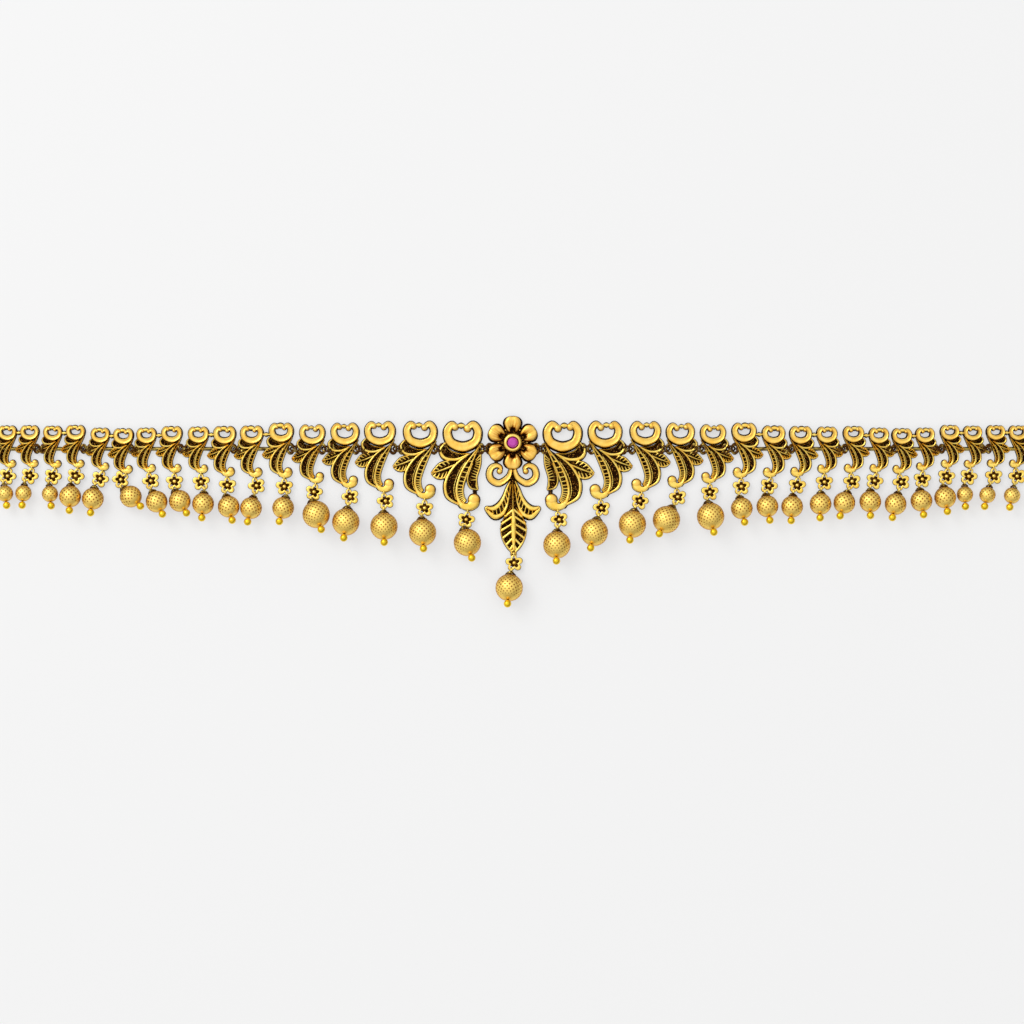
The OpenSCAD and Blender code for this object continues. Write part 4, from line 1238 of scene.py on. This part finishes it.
class BELT_OT_flowers(bpy.types.Operator):
    """Model the little flowers, with a hole for the ring above and the pin below"""
    bl_idname = "belt.flowers"
    bl_label = "Model the flowers"

    def execute(self, context):
        models = {petal: self.flower(petal) for petal in (-1, 1)}
        for side in (LEFT, RIGHT):
            flowers = []
            for at, leans, i in drops(side):
                middle = flower_centre(at, leans)
                turn = Matrix.Rotation(math.radians(leans[0]), 4, "Z")
                where = Matrix.Scale(MM, 4) @ Matrix.Translation((middle.x, middle.y, EYE_Z)) @ turn
                flowers.append(copied(models[leans[1]], where))
            name = f"drop_flowers_{SIDE_NAMES[side]}"
            finish_piece(joined(flowers), f"cast_{name}", "antique_gold", name)
        removed(*models.values())
        return {"FINISHED"}

    def petal_reach(self, angle):
        """Distance from the flower's middle to its edge, over five round petals."""
        reach = FLOWER_HEART
        for k in range(5):
            radius = EYE_PETAL if k == 0 else SMALL_PETAL
            off = angle - math.radians(90 + 72 * k)
            chord = radius ** 2 - (PETAL_AT * math.sin(off)) ** 2
            if chord > 0 and math.cos(off) > 0:
                reach = max(reach, PETAL_AT * math.cos(off) + math.sqrt(chord))
        return reach

    def flower(self, petal):
        """A flower with a thick rim round a dark star, a ball in its middle and bumps in its petals."""
        bpy.ops.mesh.primitive_circle_add(vertices=80, radius=1, fill_type="NGON")
        shape = bpy.context.object
        shape.data.materials.append(bpy.data.materials["flower_gold"])
        self.spread(shape, *FLOWER_RINGS[0])
        for share, height in FLOWER_RINGS[1:]:
            bpy.ops.object.mode_set(mode="EDIT")
            bpy.ops.mesh.extrude_region_move()
            leave_edit()
            self.spread(shape, share, height)
        edit_all()
        leave_edit(outward=True)
        pin_at = PETAL_AT * leaning(36 * petal)
        cut_hole(shape, 0, FLOWER_EYE, FLOWER_HOLE)
        cut_hole(shape, pin_at.x, pin_at.y, PIN_HOLE)
        shapes = [shape, self.ball(0, 0, *FLOWER_BALL)]
        for k in range(1, 5):
            at = PETAL_AT * leaning(180 + 72 * k)
            if (at - pin_at).length > 1:
                shapes.append(self.ball(at.x, at.y, *FLOWER_BUMP))
        return joined(shapes)

    def spread(self, shape, share, height):
        """Moves the selected ring of points to its place between the flower's edge and the star."""
        near, arm = STAR
        for vertex in shape.data.vertices:
            if vertex.select:
                angle = math.atan2(vertex.co.y, vertex.co.x)
                star = near + arm * abs(math.cos(2.5 * (angle - math.pi / 2))) ** 1.5
                reach = self.petal_reach(angle) * (1 - share) + star * share
                vertex.co = (reach * math.cos(angle), reach * math.sin(angle), height)

    def ball(self, x, y, radius, middle):
        """Upper half of a ball, which stands up from the hollow."""
        angles = [math.radians(degrees) for degrees in BALL_STEPS]
        profile = [(radius * math.cos(angle), middle + radius * math.sin(angle)) for angle in angles]
        return place(turned(profile, 14, "flower_gold"), Matrix.Translation((x, y, 0)))


def cut_hole(shape, x, y, radius):
    """Drills a round hole straight down through a shape."""
    bpy.ops.mesh.primitive_cylinder_add(vertices=16, radius=radius, depth=12, location=(x, y, 0))
    drill = bpy.context.object
    pick(shape)
    hole = shape.modifiers.new("hole", "BOOLEAN")
    hole.object = drill
    hole.operation = "DIFFERENCE"
    hole.solver = "MANIFOLD"
    bpy.ops.object.modifier_apply(modifier="hole")
    removed(drill)


class BELT_OT_beads(bpy.types.Operator):
    """Model the round beads, with pits all over and a bore along the pin"""
    bl_idname = "belt.beads"
    bl_label = "Model the beads"

    def execute(self, context):
        beads = context.scene.belt_beads
        models = {
            radius: self.bead(radius, beads.pit_pitch, beads.pit_depth)
            for radius in (beads.large, beads.medium, beads.small)
        }
        for side in (LEFT, RIGHT):
            own = {}
            for at, leans, i in drops(side):
                radius = bead_radius(beads, i)
                own[i] = copied(models[radius], bead_place(at, leans, radius))
                self.keep_rise(own[i], 2 * radius * MM)
            if side == LEFT:
                finish_piece(own[0], "round_centre_bead", "bead_gold", "centre_bead")
            for i in range(1, LINKS + 1):
                name = f"bead_{SIDE_NAMES[side]}_{i}"
                finish_piece(own[i], f"round_{name}", "bead_gold", name)
            for pair in range(1, PAIRS + 1):
                first = LINKS + 2 * pair - 1
                name = f"bead_pair_{SIDE_NAMES[side]}_{pair}"
                both = joined([own[first], own[first + 1]])
                finish_piece(both, f"round_{name}", "bead_gold", name)
        removed(*models.values())
        return {"FINISHED"}

    def keep_rise(self, bead, top):
        """Stores how high each point of a bead lies, as a share of its top, for the painted shade on its
        sides.
        """
        rise = bead.data.attributes.new("rise", "FLOAT", "POINT")
        for vertex, value in zip(bead.data.vertices, rise.data):
            value.value = vertex.co.z / top

    def bead(self, radius, pitch, depth):
        """A bead with slanting rows of pits round its axis, which lies along X."""
        rings = round(math.pi * radius / (pitch * math.sqrt(2)))
        bpy.ops.mesh.primitive_uv_sphere_add(segments=2 * rings, ring_count=rings, radius=radius)
        shape = bpy.context.object
        shape.data.materials.append(bpy.data.materials["netted_gold"])
        shape.data.materials.append(bpy.data.materials["bead_pit"])
        edit_all()
        bpy.ops.mesh.poke()
        bpy.ops.mesh.tris_convert_to_quads(face_threshold=math.pi, shape_threshold=math.pi)
        leave_edit()
        for vertex in shape.data.vertices:
            vertex.co = vertex.co.normalized() * radius
        select(shape, "FACES", lambda at: abs(at.z) < radius * math.cos(math.pi * PIT_FREE_ROWS / rings))
        bpy.ops.mesh.inset(use_individual=True, thickness=PIT_RIM * pitch)
        bpy.ops.mesh.inset(use_individual=True, thickness=PIT_SLOPE * pitch, depth=-depth)
        shape.active_material_index = 1
        bpy.ops.mesh.select_more()
        bpy.ops.object.material_slot_assign()
        leave_edit()
        cut_hole(shape, 0, 0, BEAD_BORE)
        return place(shape, Matrix.Rotation(math.pi / 2, 4, "Y"))


class BELT_OT_pins(bpy.types.Operator):
    """Model the pins: a loop, the wire wound below it, and the ball that holds the bead"""
    bl_idname = "belt.pins"
    bl_label = "Model the pins"

    def execute(self, context):
        beads = context.scene.belt_beads
        models = {radius: self.pin(radius) for radius in (beads.large, beads.medium, beads.small)}
        for side in (LEFT, RIGHT):
            pins = []
            for at, leans, i in drops(side):
                radius = bead_radius(beads, i)
                pins.append(copied(models[radius], bead_place(at, leans, radius)))
            name = f"drop_pins_{SIDE_NAMES[side]}"
            finish_piece(joined(pins), f"wound_{name}", "pin_gold", name, smooth=60)
        removed(*models.values())
        return {"FINISHED"}

    def pin(self, radius):
        """A pin along X, drawn from the middle of its bead."""
        reach = pin_reach(radius)
        ball_at = radius + PIN_SLACK + PIN_BALL
        wire_from = PIN_LOOP - reach
        length = ball_at - wire_from
        shapes = [
            self.coil(-reach, PIN_LOOP, PIN_WIRE, Matrix.Rotation(math.radians(lean), 4, "X"), "ring_gold")
            for lean in LOOP_LEANS
        ]
        shapes += [self.wire(wire_from + length / 2, length), self.end_ball(ball_at)]
        turns = 1 + max(1, round((reach - PIN_LOOP - radius) / WRAP_WIRE))
        for k in range(turns):
            around = WRAP_SHARE * radius - WRAP_STEP * k
            x = -math.sqrt((radius + WRAP_WIRE * (WRAP_FIRST + WRAP_NEXT * k)) ** 2 - around ** 2)
            tilt = Matrix.Rotation(math.radians(WRAP_TILT * (-1) ** k if k else 0), 4, "Z")
            turn = tilt @ Matrix.Rotation(math.pi / 2, 4, "Y")
            shapes.append(self.coil(x, around, WRAP_WIRE, turn, "wound_wire"))
        return joined(shapes)

    def coil(self, x, radius, wire, turn, finish):
        """One turn of wire."""
        bpy.ops.mesh.primitive_torus_add(
            major_radius=radius, minor_radius=wire / 2, major_segments=20, minor_segments=8)
        shape = bpy.context.object
        shape.data.materials.append(bpy.data.materials[finish])
        return place(shape, Matrix.Translation((x, 0, 0)) @ turn)

    def wire(self, x, length):
        """The straight wire through the bead."""
        bpy.ops.mesh.primitive_cylinder_add(vertices=10, radius=PIN_WIRE / 2, depth=length)
        shape = bpy.context.object
        shape.data.materials.append(bpy.data.materials["wound_wire"])
        return place(shape, Matrix.Translation((x, 0, 0)) @ Matrix.Rotation(math.pi / 2, 4, "Y"))

    def end_ball(self, x):
        """The polished ball under the bead."""
        bpy.ops.mesh.primitive_uv_sphere_add(segments=20, ring_count=12, radius=PIN_BALL)
        shape = bpy.context.object
        shape.data.materials.append(bpy.data.materials["ball_gold"])
        return place(shape, Matrix.Translation((x, 0, 0)) @ Matrix.Rotation(math.pi / 2, 4, "Y"))


class BELT_OT_rings(bpy.types.Operator):
    """Give the rings, chains, hook and end ring their finish"""
    bl_idname = "belt.rings"
    bl_label = "Finish the rings and chains"

    def execute(self, context):
        finishes = {"hook": "tarnished_wire", "end_ring": "tarnished_wire"}
        for side in SIDE_NAMES.values():
            finishes[f"drop_rings_{side}"] = "ring_gold"
            finishes[f"plate_rings_{side}"] = "tarnished_wire"
            finishes[f"chain_{side}"] = "tarnished_wire"
        for name, finish in finishes.items():
            for material_slot in frame["nodes"][name].material_slots:
                material_slot.material = bpy.data.materials[finish]
        return {"FINISHED"}


class BELT_OT_stage(bpy.types.Operator):
    """Set the pale floor, the soft lights and the camera"""
    bl_idname = "belt.stage"
    bl_label = "Set the stage"

    def execute(self, context):
        self.floor()
        self.camera(context)
        self.lights(context)
        return {"FINISHED"}

    def floor(self):
        """A plain pale surface under the belt."""
        bpy.ops.object.select_all(action="DESELECT")
        bpy.ops.mesh.primitive_plane_add(size=FLOOR_SIZE)
        surface = bpy.context.object
        surface.name = "pale_floor"
        new_material(
            "pale_floor", Base_Color=FLOOR_GREY, Roughness=0.9,
            Emission_Color=(1, 1, 1, 1), Emission_Strength=FLOOR_GLOW)
        surface.data.materials.append(bpy.data.materials["pale_floor"])

    def camera(self, context):
        """A long lens straight above the belt."""
        data = bpy.data.cameras.new("camera")
        data.lens = CAMERA_LENS
        data.sensor_width = CAMERA_SENSOR
        camera = bpy.data.objects.new("camera", data)
        distance = VIEW_WIDTH * CAMERA_LENS / CAMERA_SENSOR
        camera.location = (VIEW_MIDDLE[0] * MM, VIEW_MIDDLE[1] * MM, (distance + VIEW_LEVEL) * MM)
        context.collection.objects.link(camera)
        context.scene.camera = camera

    def lights(self, context):
        """A key lamp from the upper left, and light all round that is brightest above and toward the upper
        left.
        """
        self.lamp(context, "soft_key", KEY_AT, KEY_SIZE, KEY_ENERGY)
        world = bpy.data.worlds.new("soft_dome")
        world.use_nodes = True
        tree = world.node_tree
        where = node(tree, "ShaderNodeTexCoord").outputs["Generated"]
        toward = node(tree, "ShaderNodeVectorMath", {0: where, 1: BRIGHT_SIDE}, operation="DOT_PRODUCT")
        strength = node(tree, "ShaderNodeMapRange", {
            "Value": toward.outputs["Value"], "From Min": DOME_FROM[0], "From Max": DOME_FROM[1],
            "To Min": DOME_TO[0], "To Max": DOME_TO[1]})
        background = tree.nodes["Background"]
        feed(tree, background, {"Strength": strength.outputs["Result"], "Color": (1, 1, 1, 1)})
        context.scene.world = world
        context.scene.view_settings.view_transform = "Standard"

    def lamp(self, context, name, at, size, energy):
        """A square lamp that faces the plaque."""
        data = bpy.data.lights.new(name, "AREA")
        data.size = size
        data.energy = energy
        lamp = bpy.data.objects.new(name, data)
        lamp.location = at
        lamp.rotation_euler = (-Vector(at)).to_track_quat("-Z", "Y").to_euler()
        context.collection.objects.link(lamp)


class BELT_PT_panel(bpy.types.Panel):
    """Lists the steps of making the belt"""
    bl_label = "Waist belt"
    bl_idname = "BELT_PT_panel"
    bl_space_type = "VIEW_3D"
    bl_region_type = "UI"
    bl_category = "Belt"

    def draw(self, context):
        for group in ("belt_finish", "belt_relief", "belt_beads"):
            box = self.layout.box()
            settings = getattr(context.scene, group)
            for name in settings.__annotations__:
                box.prop(settings, name)
        for operator in OPERATORS:
            self.layout.operator(operator.bl_idname)


OPERATORS = (
    BELT_OT_finishes, BELT_OT_plaque, BELT_OT_stone, BELT_OT_links, BELT_OT_pairs, BELT_OT_flowers,
    BELT_OT_beads, BELT_OT_pins, BELT_OT_rings, BELT_OT_stage,
)
CLASSES = (BeltFinish, BeltRelief, BeltBeads) + OPERATORS + (BELT_PT_panel,)


def register():
    for kind in CLASSES:
        bpy.utils.register_class(kind)
    bpy.types.Scene.belt_finish = PointerProperty(type=BeltFinish)
    bpy.types.Scene.belt_relief = PointerProperty(type=BeltRelief)
    bpy.types.Scene.belt_beads = PointerProperty(type=BeltBeads)


def unregister():
    del bpy.types.Scene.belt_beads
    del bpy.types.Scene.belt_relief
    del bpy.types.Scene.belt_finish
    for kind in reversed(CLASSES):
        bpy.utils.unregister_class(kind)


def main():
    register()
    bpy.ops.belt.finishes()
    bpy.ops.belt.plaque()
    bpy.ops.belt.stone()
    bpy.ops.belt.links()
    bpy.ops.belt.pairs()
    bpy.ops.belt.flowers()
    bpy.ops.belt.beads()
    bpy.ops.belt.pins()
    bpy.ops.belt.rings()
    bpy.ops.belt.stage()


if __name__ == "__main__":
    main()
